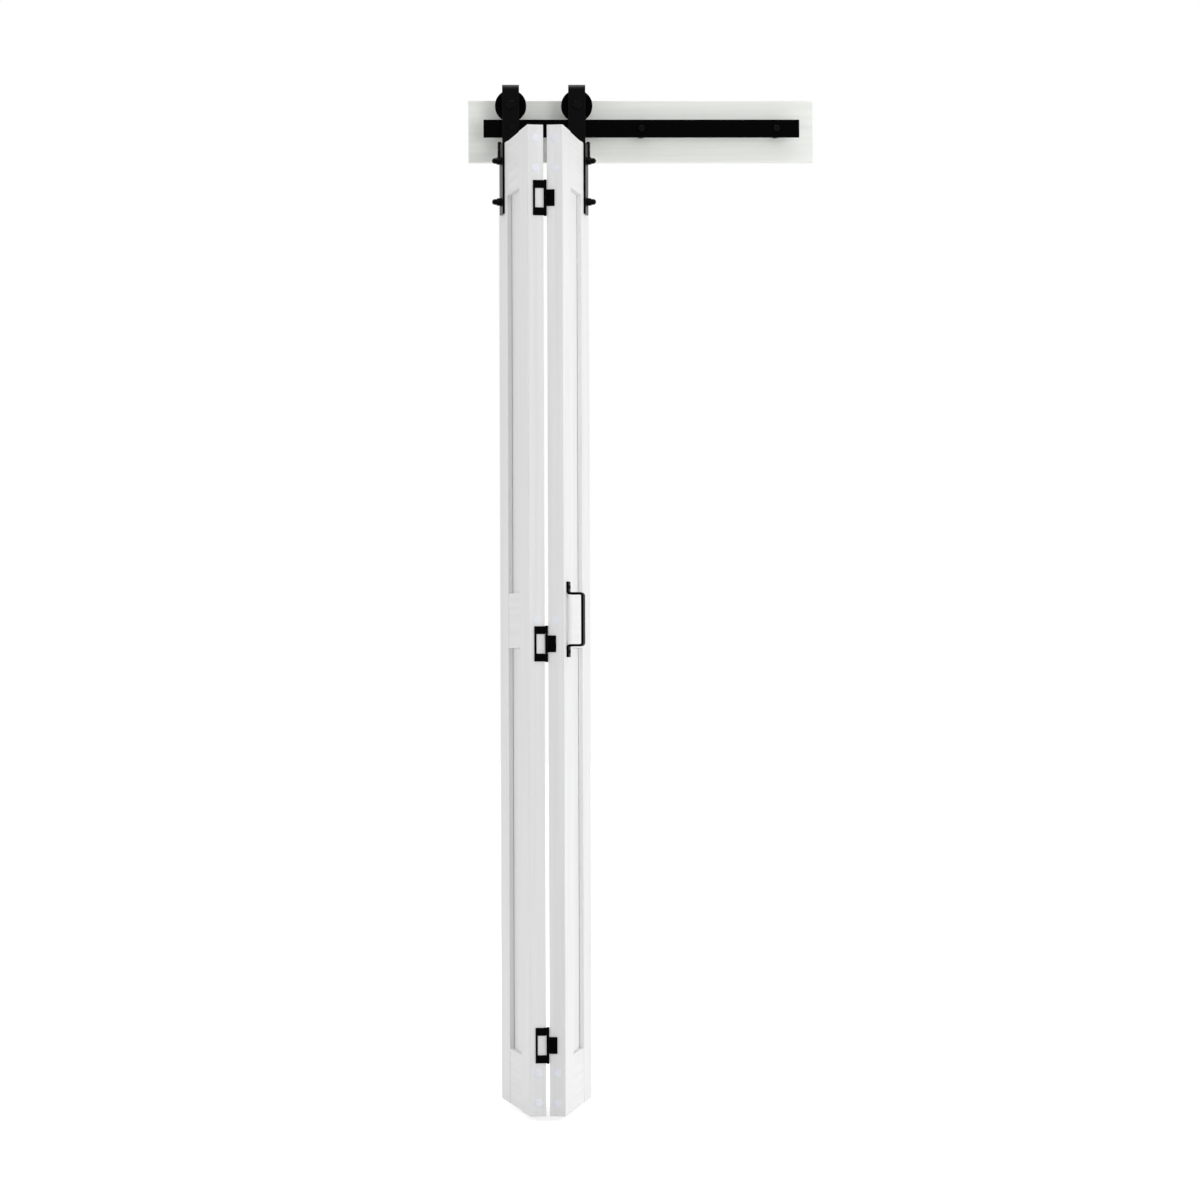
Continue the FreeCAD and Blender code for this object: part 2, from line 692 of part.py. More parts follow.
def door_plate():
    """A strap on the panel's face with the lower knuckle, notched for the upper one and the pin's head."""
    right = PLATE_INSET + PLATE_WIDTH
    low = PANEL_HEIGHT - PLATE_LENGTH
    plate = block((PLATE_INSET, right), (-PLATE_THICKNESS, 0), (low, PANEL_HEIGHT))
    plate = plate.makeFillet(PLATE_CORNER, edges_in_plane(edges_only(plate, Y), Z, low))
    front_edges = edges_in_plane(plate, Y, -PLATE_THICKNESS)
    plate = plate.makeFillet(STRAP_EDGE_ROUND, front_edges)
    knuckle_low = Vector(PLATE_INSET, -swivel_stand_off, PANEL_HEIGHT - SWIVEL_LOWER)
    knuckle_high = Vector(PLATE_INSET, -swivel_stand_off, PANEL_HEIGHT - SWIVEL_NEST - HANG_GAP)
    plate = joined([plate, rod(SWIVEL_KNUCKLE_RADIUS, knuckle_low, knuckle_high)])
    notch = (PLATE_INSET, PLATE_INSET + SWIVEL_KNUCKLE_RADIUS + SWIVEL_ROOM)
    head_room = (knuckle_low.z - SWIVEL_HEAD - SWIVEL_ROOM, knuckle_low.z)
    bore = PLATE_BOLT_RADIUS + BOLT_CLEARANCE
    holes = [rod(bore, Vector(x, -PLATE_THICKNESS, z), Vector(x, 0, z)) for x, z in plate_bolt_places()]
    holes.append(block(notch, (-PLATE_THICKNESS, 0), head_room))
    holes.append(block(notch, (-PLATE_THICKNESS, 0), (knuckle_high.z, PANEL_HEIGHT)))
    holes.append(rod(SWIVEL_PIN_RADIUS + RUNNING_FIT, knuckle_low, knuckle_high))
    return drilled(plate, holes)


def plate_bolts():
    """Through bolts: a low domed head with a hexagon socket on the back, the thread's end in the cap nut."""
    back = PANEL_THICKNESS
    tip = -PLATE_THICKNESS - PLATE_WASHER - CAP_NUT_HEX - CAP_NUT_DOME + 2 * CAP_NUT_WALL
    bolts = []
    for x, z in plate_bolt_places():
        crown = Vector(x, back + PLATE_BOLT_HEAD, z)
        head = rod(PLATE_BOLT_HEAD_RADIUS, Vector(x, back, z), crown)
        head = head.makeFillet(PLATE_BOLT_DOME, edges_in_plane(head, Y, crown.y))
        shank = rod(PLATE_BOLT_RADIUS, Vector(x, back, z), Vector(x, tip, z))
        socket = hexagon(PLATE_BOLT_SOCKET, Vector(x, crown.y - PLATE_BOLT_SOCKET_DEPTH, z), crown)
        bolts.append(joined([head, shank]).cut(socket))
    return group(bolts)


def plate_washers():
    seat = -PLATE_THICKNESS
    bore = PLATE_BOLT_RADIUS + BOLT_CLEARANCE
    return group([
        ring(PLATE_WASHER_RADIUS, bore, Vector(x, seat - PLATE_WASHER, z), Vector(x, seat, z))
        for x, z in plate_bolt_places()
    ])


def plate_cap_nuts():
    seat = -PLATE_THICKNESS - PLATE_WASHER
    shoulder = seat - CAP_NUT_HEX
    tip = shoulder - CAP_NUT_DOME
    nuts = []
    for x, z in plate_bolt_places():
        base = hexagon(CAP_NUT_FLATS, Vector(x, seat, z), Vector(x, shoulder, z))
        neck_end = Vector(x, tip + CAP_NUT_DOME_RADIUS, z)
        neck = rod(CAP_NUT_DOME_RADIUS, Vector(x, seat - CAP_NUT_HEX / 2, z), neck_end)
        dome = Part.makeSphere(CAP_NUT_DOME_RADIUS, neck_end)
        thread = rod(PLATE_BOLT_RADIUS + THREAD_FIT, Vector(x, seat, z), Vector(x, tip + CAP_NUT_WALL, z))
        nuts.append(joined([base, neck, dome]).cut(thread))
    return group(nuts)


# Nesting hinges on the panels' facing edges


def leaf_plate(reach, height, z):
    """A leaf that lies on the panel's edge and reaches from the pin across the edge."""
    edge = PANEL_WIDTH
    plate = block(
        (edge, edge + HINGE_LEAF),
        (hinge_pin_y - reach, hinge_pin_y),
        (z - height / 2, z + height / 2),
    )
    far_corners = edges_in_plane(edges_only(plate, X), Y, hinge_pin_y - reach)
    return plate.makeFillet(HINGE_CORNER, far_corners)


def knuckle_rod(radius, low, high):
    return rod(radius, Vector(hinge_pin_x, hinge_pin_y, low), Vector(hinge_pin_x, hinge_pin_y, high))


def outer_screw_places(z):
    y = hinge_pin_y - HINGE_OUTER_SCREW
    rise = HINGE_HEIGHT / 2 - HINGE_END_BAR / 2
    return [(y, z - rise), (y, z + rise)]


def inner_screw_places(z):
    y = hinge_pin_y - HINGE_INNER_SCREW
    return [(y, z - HINGE_INNER_SCREW_RISE), (y, z + HINGE_INNER_SCREW_RISE)]


def countersink(y, z):
    """The cone under a screw's head and the screw's shank, with the head flush with the leaf."""
    face = PANEL_WIDTH + HINGE_LEAF
    sink = HINGE_SCREW_HEAD_RADIUS - HINGE_SCREW_RADIUS
    cone = Part.makeCone(HINGE_SCREW_RADIUS, HINGE_SCREW_HEAD_RADIUS, sink, Vector(face - sink, y, z), X)
    shank = rod(HINGE_SCREW_RADIUS, Vector(PANEL_WIDTH - HINGE_SCREW_LENGTH, y, z), Vector(face - sink, y, z))
    return joined([cone, shank])


def outer_leaf(z):
    """The larger leaf: a frame round the window that the inner leaf nests in, with a knuckle at each end."""
    plate = leaf_plate(HINGE_OUTER_REACH, HINGE_HEIGHT, z)
    half = HINGE_HEIGHT / 2
    window = half - HINGE_END_BAR
    knuckles = [
        knuckle_rod(HINGE_KNUCKLE_RADIUS, z - half, z - window),
        knuckle_rod(HINGE_KNUCKLE_RADIUS, z + window, z + half),
    ]
    opening = block(
        (PANEL_WIDTH, PANEL_WIDTH + HINGE_LEAF),
        (hinge_pin_y - HINGE_OUTER_REACH + HINGE_FRAME_BAR, hinge_pin_y),
        (z - window, z + window),
    )
    leaf = joined([plate.cut(opening)] + knuckles)
    holes = [knuckle_rod(HINGE_PIN_RADIUS + THREAD_FIT, z - half, z + half)]
    holes += [countersink(y, place) for y, place in outer_screw_places(z)]
    return drilled(leaf, holes)


def inner_leaf(z):
    """The smaller leaf, with the middle knuckle."""
    plate = leaf_plate(HINGE_INNER_REACH, HINGE_INNER_HEIGHT, z)
    half = HINGE_HEIGHT / 2 - HINGE_END_BAR - HINGE_KNUCKLE_GAP
    leaf = joined([plate, knuckle_rod(HINGE_KNUCKLE_RADIUS, z - half, z + half)])
    holes = [knuckle_rod(HINGE_PIN_RADIUS + RUNNING_FIT, z - half, z + half)]
    holes += [countersink(y, place) for y, place in inner_screw_places(z)]
    return drilled(leaf, holes)


def hinge_pins():
    pins = []
    for z in hinge_places:
        half = HINGE_HEIGHT / 2
        pins.append(joined([
            knuckle_rod(HINGE_PIN_RADIUS, z - half, z + half),
            knuckle_rod(HINGE_PIN_HEAD_RADIUS, z + half, z + half + HINGE_PIN_HEAD),
            knuckle_rod(HINGE_PIN_HEAD_RADIUS, z - half - HINGE_PIN_HEAD, z - half),
        ]))
    return group(pins)


def all_outer_screws():
    return [place for z in hinge_places for place in outer_screw_places(z)]


def all_inner_screws():
    return [place for z in hinge_places for place in inner_screw_places(z)]


def hinge_screws(places):
    return group([countersink(y, z) for y, z in places])


# Pull handle on the right panel's face


def handle_screw_places():
    x = PANEL_WIDTH - HANDLE_INSET - HANDLE_WIDTH / 2
    rise = HANDLE_HEIGHT / 2 - HANDLE_FOOT / 2
    return [(x, PANEL_HEIGHT / 2 - rise), (x, PANEL_HEIGHT / 2 + rise)]


def pull_handle():
    """One flat bar bent into a bracket: two feet on the stile, two legs and a straight grip."""
    right = PANEL_WIDTH - HANDLE_INSET
    left = right - HANDLE_WIDTH
    end = HANDLE_HEIGHT / 2
    leg = end - HANDLE_FOOT
    inner_leg = leg - HANDLE_THICKNESS
    foot = -HANDLE_THICKNESS
    grip = -HANDLE_STAND_OFF
    under_grip = grip + HANDLE_THICKNESS
    upper = [(0, inner_leg), (0, end), (foot, end), (foot, leg), (grip, leg)]
    lower = [(y, -z) for y, z in reversed(upper)]
    inside = [(under_grip, -inner_leg), (under_grip, inner_leg)]
    outline = []
    for y, z in upper + lower + inside:
        outline.append(Vector(left, y, PANEL_HEIGHT / 2 + z))
    bar = Part.Face(Part.makePolygon(outline + outline[:1])).extrude(Vector(HANDLE_WIDTH, 0, 0))

    def bends(y, z):
        """The bar's edges across its width at one depth and at a height above and below its middle."""
        level = edges_in_plane(edges_only(bar, X), Y, y)
        return [e for e in level if abs(abs(e.CenterOfMass.z - PANEL_HEIGHT / 2) - z) < 1e-6]

    outer_bends = bends(grip, leg) + bends(0, inner_leg)
    bar = bar.makeFillet(HANDLE_BEND + HANDLE_THICKNESS, outer_bends)
    inner_bends = bends(under_grip, inner_leg) + bends(foot, leg)
    bar = bar.makeFillet(HANDLE_BEND, inner_bends)
    bore = HANDLE_SCREW_RADIUS + BOLT_CLEARANCE
    holes = [rod(bore, Vector(x, foot, z), Vector(x, 0, z)) for x, z in handle_screw_places()]
    return drilled(bar, holes)


def handle_screws():
    seat = -HANDLE_THICKNESS
    tip = seat + HANDLE_SCREW_LENGTH
    screws = []
    for x, z in handle_screw_places():
        crown = Vector(x, seat - HANDLE_SCREW_HEAD, z)
        head = rod(HANDLE_SCREW_HEAD_RADIUS, Vector(x, seat, z), crown)
        head = head.makeFillet(HANDLE_SCREW_ROUND, edges_in_plane(head, Y, crown.y))
        screws.append(joined([head, rod(HANDLE_SCREW_RADIUS, Vector(x, seat, z), Vector(x, tip, z))]))
    return group(screws)


def handle_stile():
    bore = HANDLE_SCREW_RADIUS + THREAD_FIT
    tip = HANDLE_SCREW_LENGTH - HANDLE_THICKNESS
    holes = [rod(bore, Vector(x, 0, z), Vector(x, tip, z)) for x, z in handle_screw_places()]
    return drilled(hinge_stile(all_inner_screws()), holes)


# Placing and writing


def place_panel(shape, left):
    """Swing a piece drawn on the flat panel into the folded pose about its hanger's swivel."""
    placed = shape.copy()
    placed.translate(Vector(-PLATE_INSET, swivel_stand_off, panel_bottom_z))
    if not left:
        placed = placed.mirror(Vector(0, 0, 0), X)
    placed.rotate(Vector(0, 0, 0), Z, -fold_swing if left else fold_swing)
    placed.translate(Vector(left_swivel_x if left else right_swivel_x, swivel_y, 0))
    return placed


def place_hanger(shape, left):
    """Move a piece drawn about its axle to the left hanger, or mirrored to the right one."""
    placed = shape.copy()
    if not left:
        placed = placed.mirror(Vector(0, 0, 0), X)
    placed.translate(Vector(left_axle_x if left else right_axle_x, 0, 0))
    return placed


def write(name, shape):
    shape.exportStep("parts/" + name + ".step")


def write_fixed_pieces():
    write("header_board", header_board())
    write("track_rail", track_rail())
    write("track_spacers", track_spacers())
    write("track_washers", track_washers())
    write("track_lag_bolts", track_lag_bolts())
    write("track_lock_bolt", place_hanger(lock_bolt(), True))


def write_hanger(side):
    left = side == "left"
    pieces = {
        "hanger_strap": hanger_strap(left),
        "axle_bolt": axle_bolt(),
        "axle_nut": axle_nut(),
        "axle_washers": axle_washers(),
        "wheel": wheel(),
        "wheel_bearing": wheel_bearing(),
        "swivel_pin": swivel_pin(),
    }
    for name, shape in pieces.items():
        write(side + "_" + name, place_hanger(shape, left))


def write_panel(side):
    left = side == "left"
    pieces = {
        "outer_stile": outer_stile(),
        "hinge_stile": hinge_stile(all_outer_screws()) if left else handle_stile(),
        "top_rail": top_rail(),
        "middle_rail": middle_rail(),
        "bottom_rail": bottom_rail(),
        "upper_infill": upper_infill(),
        "lower_infill": lower_infill(),
        "frame_bolts": frame_bolts(),
        "insert_nuts": insert_nuts(),
        "bolt_caps": bolt_caps(),
        "door_plate": door_plate(),
        "plate_bolts": plate_bolts(),
        "plate_washers": plate_washers(),
        "plate_cap_nuts": plate_cap_nuts(),
        "hinge_screws": hinge_screws(all_outer_screws() if left else all_inner_screws()),
    }
    for name, shape in pieces.items():
        write(side + "_" + name, place_panel(shape, left))


def write_hinges():
    for name, z in zip(("lower", "middle", "upper"), hinge_places):
        write(name + "_hinge_outer_leaf", place_panel(outer_leaf(z), True))
        write(name + "_hinge_inner_leaf", place_panel(inner_leaf(z), False))
    write("hinge_pins", place_panel(hinge_pins(), True))


def write_handle():
    write("pull_handle", place_panel(pull_handle(), False))
    write("handle_screws", place_panel(handle_screws(), False))


def main():
    os.makedirs("parts", exist_ok=True)
    write_fixed_pieces()
    for side in ("left", "right"):
        write_hanger(side)
        write_panel(side)
    write_hinges()
    write_handle()


main()
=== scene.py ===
import json
import math

import bmesh
import bpy
from mathutils import Matrix, Vector


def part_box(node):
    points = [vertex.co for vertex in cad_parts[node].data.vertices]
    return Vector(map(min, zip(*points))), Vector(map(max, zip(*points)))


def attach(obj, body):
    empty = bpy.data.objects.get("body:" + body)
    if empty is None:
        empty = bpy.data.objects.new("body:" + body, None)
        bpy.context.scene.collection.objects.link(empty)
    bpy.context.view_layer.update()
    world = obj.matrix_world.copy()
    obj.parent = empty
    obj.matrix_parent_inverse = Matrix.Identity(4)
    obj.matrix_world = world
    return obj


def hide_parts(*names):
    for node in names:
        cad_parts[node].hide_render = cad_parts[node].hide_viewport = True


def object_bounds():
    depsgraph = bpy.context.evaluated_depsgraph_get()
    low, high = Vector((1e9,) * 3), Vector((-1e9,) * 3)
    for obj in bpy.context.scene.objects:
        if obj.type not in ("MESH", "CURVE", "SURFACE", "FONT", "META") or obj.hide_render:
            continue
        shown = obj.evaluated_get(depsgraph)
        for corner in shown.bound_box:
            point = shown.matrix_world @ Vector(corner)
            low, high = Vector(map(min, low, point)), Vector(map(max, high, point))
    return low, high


bl_info = {
    "name": "Bi-fold barn door",
    "version": (1, 0, 0),
    "blender": (4, 5, 0),
    "location": "3D View > Sidebar > Bi-fold door",
    "description": "Finishes, fasteners and stage for a bi-fold barn door on a flat wall track",
    "category": "Object",
}

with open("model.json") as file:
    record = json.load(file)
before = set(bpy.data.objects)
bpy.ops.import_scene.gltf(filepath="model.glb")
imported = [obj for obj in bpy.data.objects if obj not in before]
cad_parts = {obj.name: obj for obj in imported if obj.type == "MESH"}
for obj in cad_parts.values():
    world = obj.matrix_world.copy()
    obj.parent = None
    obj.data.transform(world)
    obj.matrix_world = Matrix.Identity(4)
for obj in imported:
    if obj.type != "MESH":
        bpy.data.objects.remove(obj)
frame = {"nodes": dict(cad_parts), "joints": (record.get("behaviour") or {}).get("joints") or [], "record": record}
cad_low, cad_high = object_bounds()
joints = {joint["name"]: joint for joint in frame["joints"]}
finish_of = {row["node"]: row["material_slot"] for row in frame["record"]["subparts"]}

SIDES = ("left", "right")
UPRIGHT_BOARDS = ("outer_stile", "hinge_stile", "upper_infill", "lower_infill")
LEVEL_BOARDS = ("top_rail", "middle_rail", "bottom_rail")
MATT_PIECES = ("track_rail", "track_spacers", "track_washers", "pull_handle")
HANGER_BODY = {"left": "wall_track", "right": "rolling_hanger"}

# Each black finish has a roughness, a level of reflection face on, and a sheen where it is seen aslant.
BLACK_COATS = {
    "matt": (0.50, 0.01, 0.18),
    "satin": (0.38, 0.02, 0.65),
    "strap": (0.40, 0.04, 1.00),
    "oxide": (0.22, 0.06, 0.45),
}

# The fold's upper limit is the closed door, so it is also how far each panel is swung at rest.
SWING = math.radians(joints["left_panel_swing"]["range_deg"][1])
PANEL_TURN = {"left": -SWING, "right": SWING}
ALONG_PANEL = {
    "left": Vector((math.cos(SWING), -math.sin(SWING), 0.0)),
    "right": Vector((-math.cos(SWING), -math.sin(SWING), 0.0)),
}
PANEL_FRONT = {
    "left": Vector((-math.sin(SWING), -math.cos(SWING), 0.0)),
    "right": Vector((math.sin(SWING), -math.cos(SWING), 0.0)),
}
INTO_WALL = Vector((0.0, 1.0, 0.0))
UPWARD = Vector((0.0, 0.0, 1.0))
AXLES = {
    "left": Vector(joints["fixed_wheel_spin"]["pos_m"]),
    "right": Vector(joints["rolling_wheel_spin"]["pos_m"]),
}


# Settings


def colour_setting(name, description, default):
    return bpy.props.FloatVectorProperty(
        name=name, description=description, default=default, subtype="COLOR", min=0.0, max=1.0
    )


def length_setting(name, description, default):
    return bpy.props.FloatProperty(
        name=name, description=description, default=default, unit="LENGTH", min=0.0
    )


def strength_setting(name, description, default):
    return bpy.props.FloatProperty(name=name, description=description, default=default, min=0.0)


def power_setting(name, description, default):
    return bpy.props.FloatProperty(
        name=name, description=description, default=default, subtype="POWER", min=0.0
    )


class BifoldColours(bpy.types.PropertyGroup):
    """Colours of the door's finishes"""

    door_paint: colour_setting("Door paint", "Satin paint on the panels", (0.800, 0.800, 0.800))
    header_paint: colour_setting(
        "Header paint", "Satin paint on the header board", (0.915, 0.933, 0.886)
    )
    black_steel: colour_setting("Black steel", "Powder coat on the hardware", (0.0013, 0.0013, 0.0014))
    wheel_nylon: colour_setting(
        "Wheel nylon", "Moulded nylon of the grooved wheels", (0.0010, 0.0010, 0.0011)
    )
    bearing_steel: colour_setting(
        "Bearing steel", "Blackened steel of the wheel bearings", (0.020, 0.020, 0.022)
    )
    zinc_steel: colour_setting(
        "Zinc steel", "Zinc plate on the frame bolts and inserts", (0.550, 0.560, 0.580)
    )
    cap_plastic: colour_setting(
        "Cap plastic", "Plastic caps over the frame bolts", (0.790, 0.805, 0.870)
    )


class BifoldSizes(bpy.types.PropertyGroup):
    """Sizes of the small fasteners"""

    cap_radius: length_setting("Cap radius", "Radius of a frame bolt's cap", 0.00925)
    cap_rim: length_setting("Cap rim", "Height of the cap's rim", 0.00045)
    cap_crown: length_setting("Cap crown", "Rise of the cap's crown above its rim", 0.00055)
    hinge_head_radius: length_setting("Hinge screw head", "Radius of a hinge screw's head", 0.00335)
    hinge_shank_radius: length_setting("Hinge screw shank", "Radius of a hinge screw's shank", 0.00170)
    hinge_screw_length: length_setting("Hinge screw length", "Length of a hinge screw", 0.0215)
    handle_head_radius: length_setting("Handle screw head", "Radius of a handle screw's head", 0.0045)
    handle_head_height: length_setting("Handle screw crown", "Height of a handle screw's head", 0.0024)
    handle_shank_radius: length_setting(
        "Handle screw shank", "Radius of a handle screw's shank", 0.00195
    )
    handle_screw_length: length_setting(
        "Handle screw length", "Length below a handle screw's head", 0.0220
    )
    pin_shank_radius: length_setting("Pin shank", "Radius of a swivel pin", 0.0030)
    pin_head_radius: length_setting("Pin head", "Radius of a swivel pin's heads", 0.0043)
    pin_head_height: length_setting("Pin rim", "Height of a swivel pin's lower head", 0.0015)
    pin_dome: length_setting("Pin dome", "Rise of a swivel pin's peened top", 0.0024)
    recess_reach: length_setting(
        "Recess reach", "Reach of a cross recess from the screw's middle", 0.0019
    )
    recess_width: length_setting("Recess width", "Width of a cross recess's slots", 0.0007)
    recess_depth: length_setting("Recess depth", "Depth of a cross recess", 0.0012)
    thread_pitch: length_setting("Thread pitch", "Pitch of a lag bolt's thread", 0.0030)
    thread_crest: length_setting("Thread crest", "Radius of a lag bolt's thread at its crest", 0.0041)
    thread_root: length_setting("Thread root", "Radius of a lag bolt's thread at its root", 0.0033)
    thread_point: length_setting("Thread point", "Plain point beyond a lag bolt's thread", 0.0070)


class BifoldStage(bpy.types.PropertyGroup):
    """Camera, lights and floor"""

    camera_place: bpy.props.FloatVectorProperty(
        name="Camera place",
        description="Where the camera stands",
        subtype="TRANSLATION",
        unit="LENGTH",
        default=(-0.28226, -8.15740, -1.22119),
    )
    camera_yaw: bpy.props.FloatProperty(
        name="Yaw",
        description="How far the camera turns to the right of straight ahead",
        subtype="ANGLE",
        default=math.radians(1.310),
    )
    camera_pitch: bpy.props.FloatProperty(
        name="Pitch",
        description="How far the camera looks up",
        subtype="ANGLE",
        default=math.radians(1.143),
    )
    camera_roll: bpy.props.FloatProperty(
        name="Roll",
        description="How far the camera leans to the left",
        subtype="ANGLE",
        default=math.radians(-0.207),
    )
    camera_lens: bpy.props.FloatProperty(
        name="Lens",
        description="Focal length in millimetres on a 36 mm frame",
        default=108.407,
        min=1.0,
    )
    front_surround: strength_setting(
        "Front surround", "Strength of the surround's light from the front", 0.285
    )
    back_surround: strength_setting(
        "Back surround", "Strength of the surround's light from behind", 1.05
    )
    key_light: power_setting("Key light", "Power of the soft lamp at the front right", 81.0)
    right_light: power_setting("Right light", "Power of the soft lamp on the right", 59.0)
    left_light: power_setting("Left light", "Power of the soft lamp on the left", 33.5)
    top_light: power_setting("Top light", "Power of the soft lamp above", 19.0)
    rim_light: power_setting("Rim light", "Power of the lamp straight above the hangers", 25.0)
    floor_gap: length_setting("Floor gap", "Room between the panels and the floor", 0.012)


class BifoldDoor(bpy.types.PropertyGroup):
    """All settings of the door"""

    colours: bpy.props.PointerProperty(type=BifoldColours)
    sizes: bpy.props.PointerProperty(type=BifoldSizes)
    stage: bpy.props.PointerProperty(type=BifoldStage)


# Nodes of the materials

# The shares of its own colour that each finish goes between.
PAINT_TONES = (1.03, 0.96)
COAT_TONES = (0.9, 1.1)
WHEEL_TONES = (0.8, 1.2)
PLATE_TONES = (0.85, 1.1)

# The strength of each finish's relief, and its depth in metres.
PAINT_RELIEF = (0.12, 0.0003)
COAT_RELIEF = (0.15, 0.00015)
RING_RELIEF = (0.25, 0.00006)

# How far the roughness of a finish goes each way.
COAT_SPREAD = 0.06
WHEEL_SPREAD = 0.05
PLATE_SPREAD = 0.08

PAINT_ROUGHNESS = (0.42, 0.56)
PAINT_SPECULAR = 0.35
CLEAR_SKIN_ROUGHNESS = 0.4

# How much of a painted board's relief follows its streaks.
STREAK_RELIEF = 0.6

# How the grain is stretched along an upright board and along a level one.
UPRIGHT_GRAIN = (1.0, 1.0, 40.0)
LEVEL_GRAIN = (40.0, 1.0, 1.0)


def set_inputs(tree, made, inputs):
    """Set or link a node's inputs, by name or number."""
    for name, value in inputs.items():
        if isinstance(value, bpy.types.NodeSocket):
            tree.links.new(value, made.inputs[name])
        else:
            made.inputs[name].default_value = value


def node(tree, kind, inputs=None, **settings):
    """Add a node, set its options, and set or link its inputs."""
    made = tree.nodes.new(kind)
    for name, value in settings.items():
        setattr(made, name, value)
    set_inputs(tree, made, inputs or {})
    return made


def reckon(tree, operation, first, second=0.0):
    """The result of one sum."""
    return node(tree, "ShaderNodeMath", {0: first, 1: second}, operation=operation).outputs[0]


def noise(tree, vector, scale, detail):
    made = node(tree, "ShaderNodeTexNoise", {"Vector": vector, "Scale": scale, "Detail": detail})
    return made.outputs["Fac"]


def between(tree, mask, low, high):
    """A value that goes from low to high with a mask."""
    return node(tree, "ShaderNodeMapRange", {"Value": mask, "To Min": low, "To Max": high}).outputs[0]


def toned(colour, share):
    return (colour[0] * share, colour[1] * share, colour[2] * share, 1.0)


def mottled(tree, mask, colour, tones):
    """A colour that goes between two shares of itself with a mask."""
    first, last = (toned(colour, share) for share in tones)
    return node(tree, "ShaderNodeMixRGB", {0: mask, 1: first, 2: last}).outputs[0]


def bumped(tree, height, relief):
    """A normal that follows a height."""
    strength, depth = relief
    bump = node(tree, "ShaderNodeBump", {"Height": height, "Strength": strength, "Distance": depth})
    return bump.outputs[0]


def new_group(name, inputs, outputs):
    """An empty node group with its sockets, and the nodes at its two ends."""
    group = bpy.data.node_groups.new(name, "ShaderNodeTree")
    for label, default in inputs.items():
        kind = "NodeSocketVector" if default is None else "NodeSocketFloat"
        socket = group.interface.new_socket(name=label, in_out="INPUT", socket_type=kind)
        if default is not None:
            socket.default_value = default
    for label in outputs:
        group.interface.new_socket(name=label, in_out="OUTPUT", socket_type="NodeSocketFloat")
    return group, group.nodes.new("NodeGroupInput"), group.nodes.new("NodeGroupOutput")


def painted_board_group():
    """Paint rolled on a board: long faint streaks of grain, fine stipple and broad patches."""
    name = "Painted board"
    if name in bpy.data.node_groups:
        return bpy.data.node_groups[name]
    group, start, end = new_group(
        name,
        {"Vector": None, "Grain Vector": None, "Grain Scale": 90.0, "Stipple Scale": 650.0},
        ("Streaks", "Patches", "Height"),
    )
    grain = noise(group, start.outputs["Grain Vector"], start.outputs["Grain Scale"], detail=3.0)
    contrast = {"Value": grain, "From Min": 0.32, "From Max": 0.68}
    streaks = node(group, "ShaderNodeMapRange", contrast).outputs[0]
    patches = noise(group, start.outputs["Vector"], scale=2.3, detail=2.0)
    stipple = noise(group, start.outputs["Vector"], start.outputs["Stipple Scale"], detail=2.0)
    relief = reckon(group, "ADD", reckon(group, "MULTIPLY", streaks, STREAK_RELIEF), stipple)
    group.links.new(streaks, end.inputs["Streaks"])
    group.links.new(patches, end.inputs["Patches"])
    group.links.new(relief, end.inputs["Height"])
    return group


def orange_peel_group():
    """The skin of powder coat or moulded plastic: a fine orange peel and a soft change of gloss."""
    name = "Orange peel"
    if name in bpy.data.node_groups:
        return bpy.data.node_groups[name]
    group, start, end = new_group(name, {"Vector": None, "Peel Scale": 900.0}, ("Patches", "Height"))
    patches = noise(group, start.outputs["Vector"], scale=35.0, detail=3.0)
    peel = noise(group, start.outputs["Vector"], start.outputs["Peel Scale"], detail=1.0)
    group.links.new(patches, end.inputs["Patches"])
    group.links.new(peel, end.inputs["Height"])
    return group


def turned_rings_group():
    """Fine rings about the Y axis, as left by turning or by a turned mould."""
    name = "Turned rings"
    if name in bpy.data.node_groups:
        return bpy.data.node_groups[name]
    group, start, end = new_group(name, {"Vector": None, "Ring Pitch": 0.0009}, ("Height",))
    apart = node(group, "ShaderNodeSeparateXYZ", {0: start.outputs["Vector"]})
    across = reckon(group, "MULTIPLY", apart.outputs["X"], apart.outputs["X"])
    upright = reckon(group, "MULTIPLY", apart.outputs["Z"], apart.outputs["Z"])
    radius = reckon(group, "SQRT", reckon(group, "ADD", across, upright))
    turns = reckon(group, "DIVIDE", radius, start.outputs["Ring Pitch"])
    wave = reckon(group, "SINE", reckon(group, "MULTIPLY", turns, 2 * math.pi))
    group.links.new(wave, end.inputs["Height"])
    return group


def new_material(name, colour):
    """An empty material with its shader joined to the output, and its object coordinates."""
    material = bpy.data.materials.new(name)
    material.use_nodes = True
    material.diffuse_color = (*colour, 1.0)
    tree = material.node_tree
    tree.nodes.clear()
    shader = node(tree, "ShaderNodeBsdfPrincipled")
    node(tree, "ShaderNodeOutputMaterial", {"Surface": shader.outputs[0]})
    vector = node(tree, "ShaderNodeTexCoord").outputs["Object"]
    return material, tree, shader, vector


def orange_peel(tree, vector):
    """The orange peel, placed in a material."""
    return node(tree, "ShaderNodeGroup", {"Vector": vector}, node_tree=orange_peel_group()).outputs


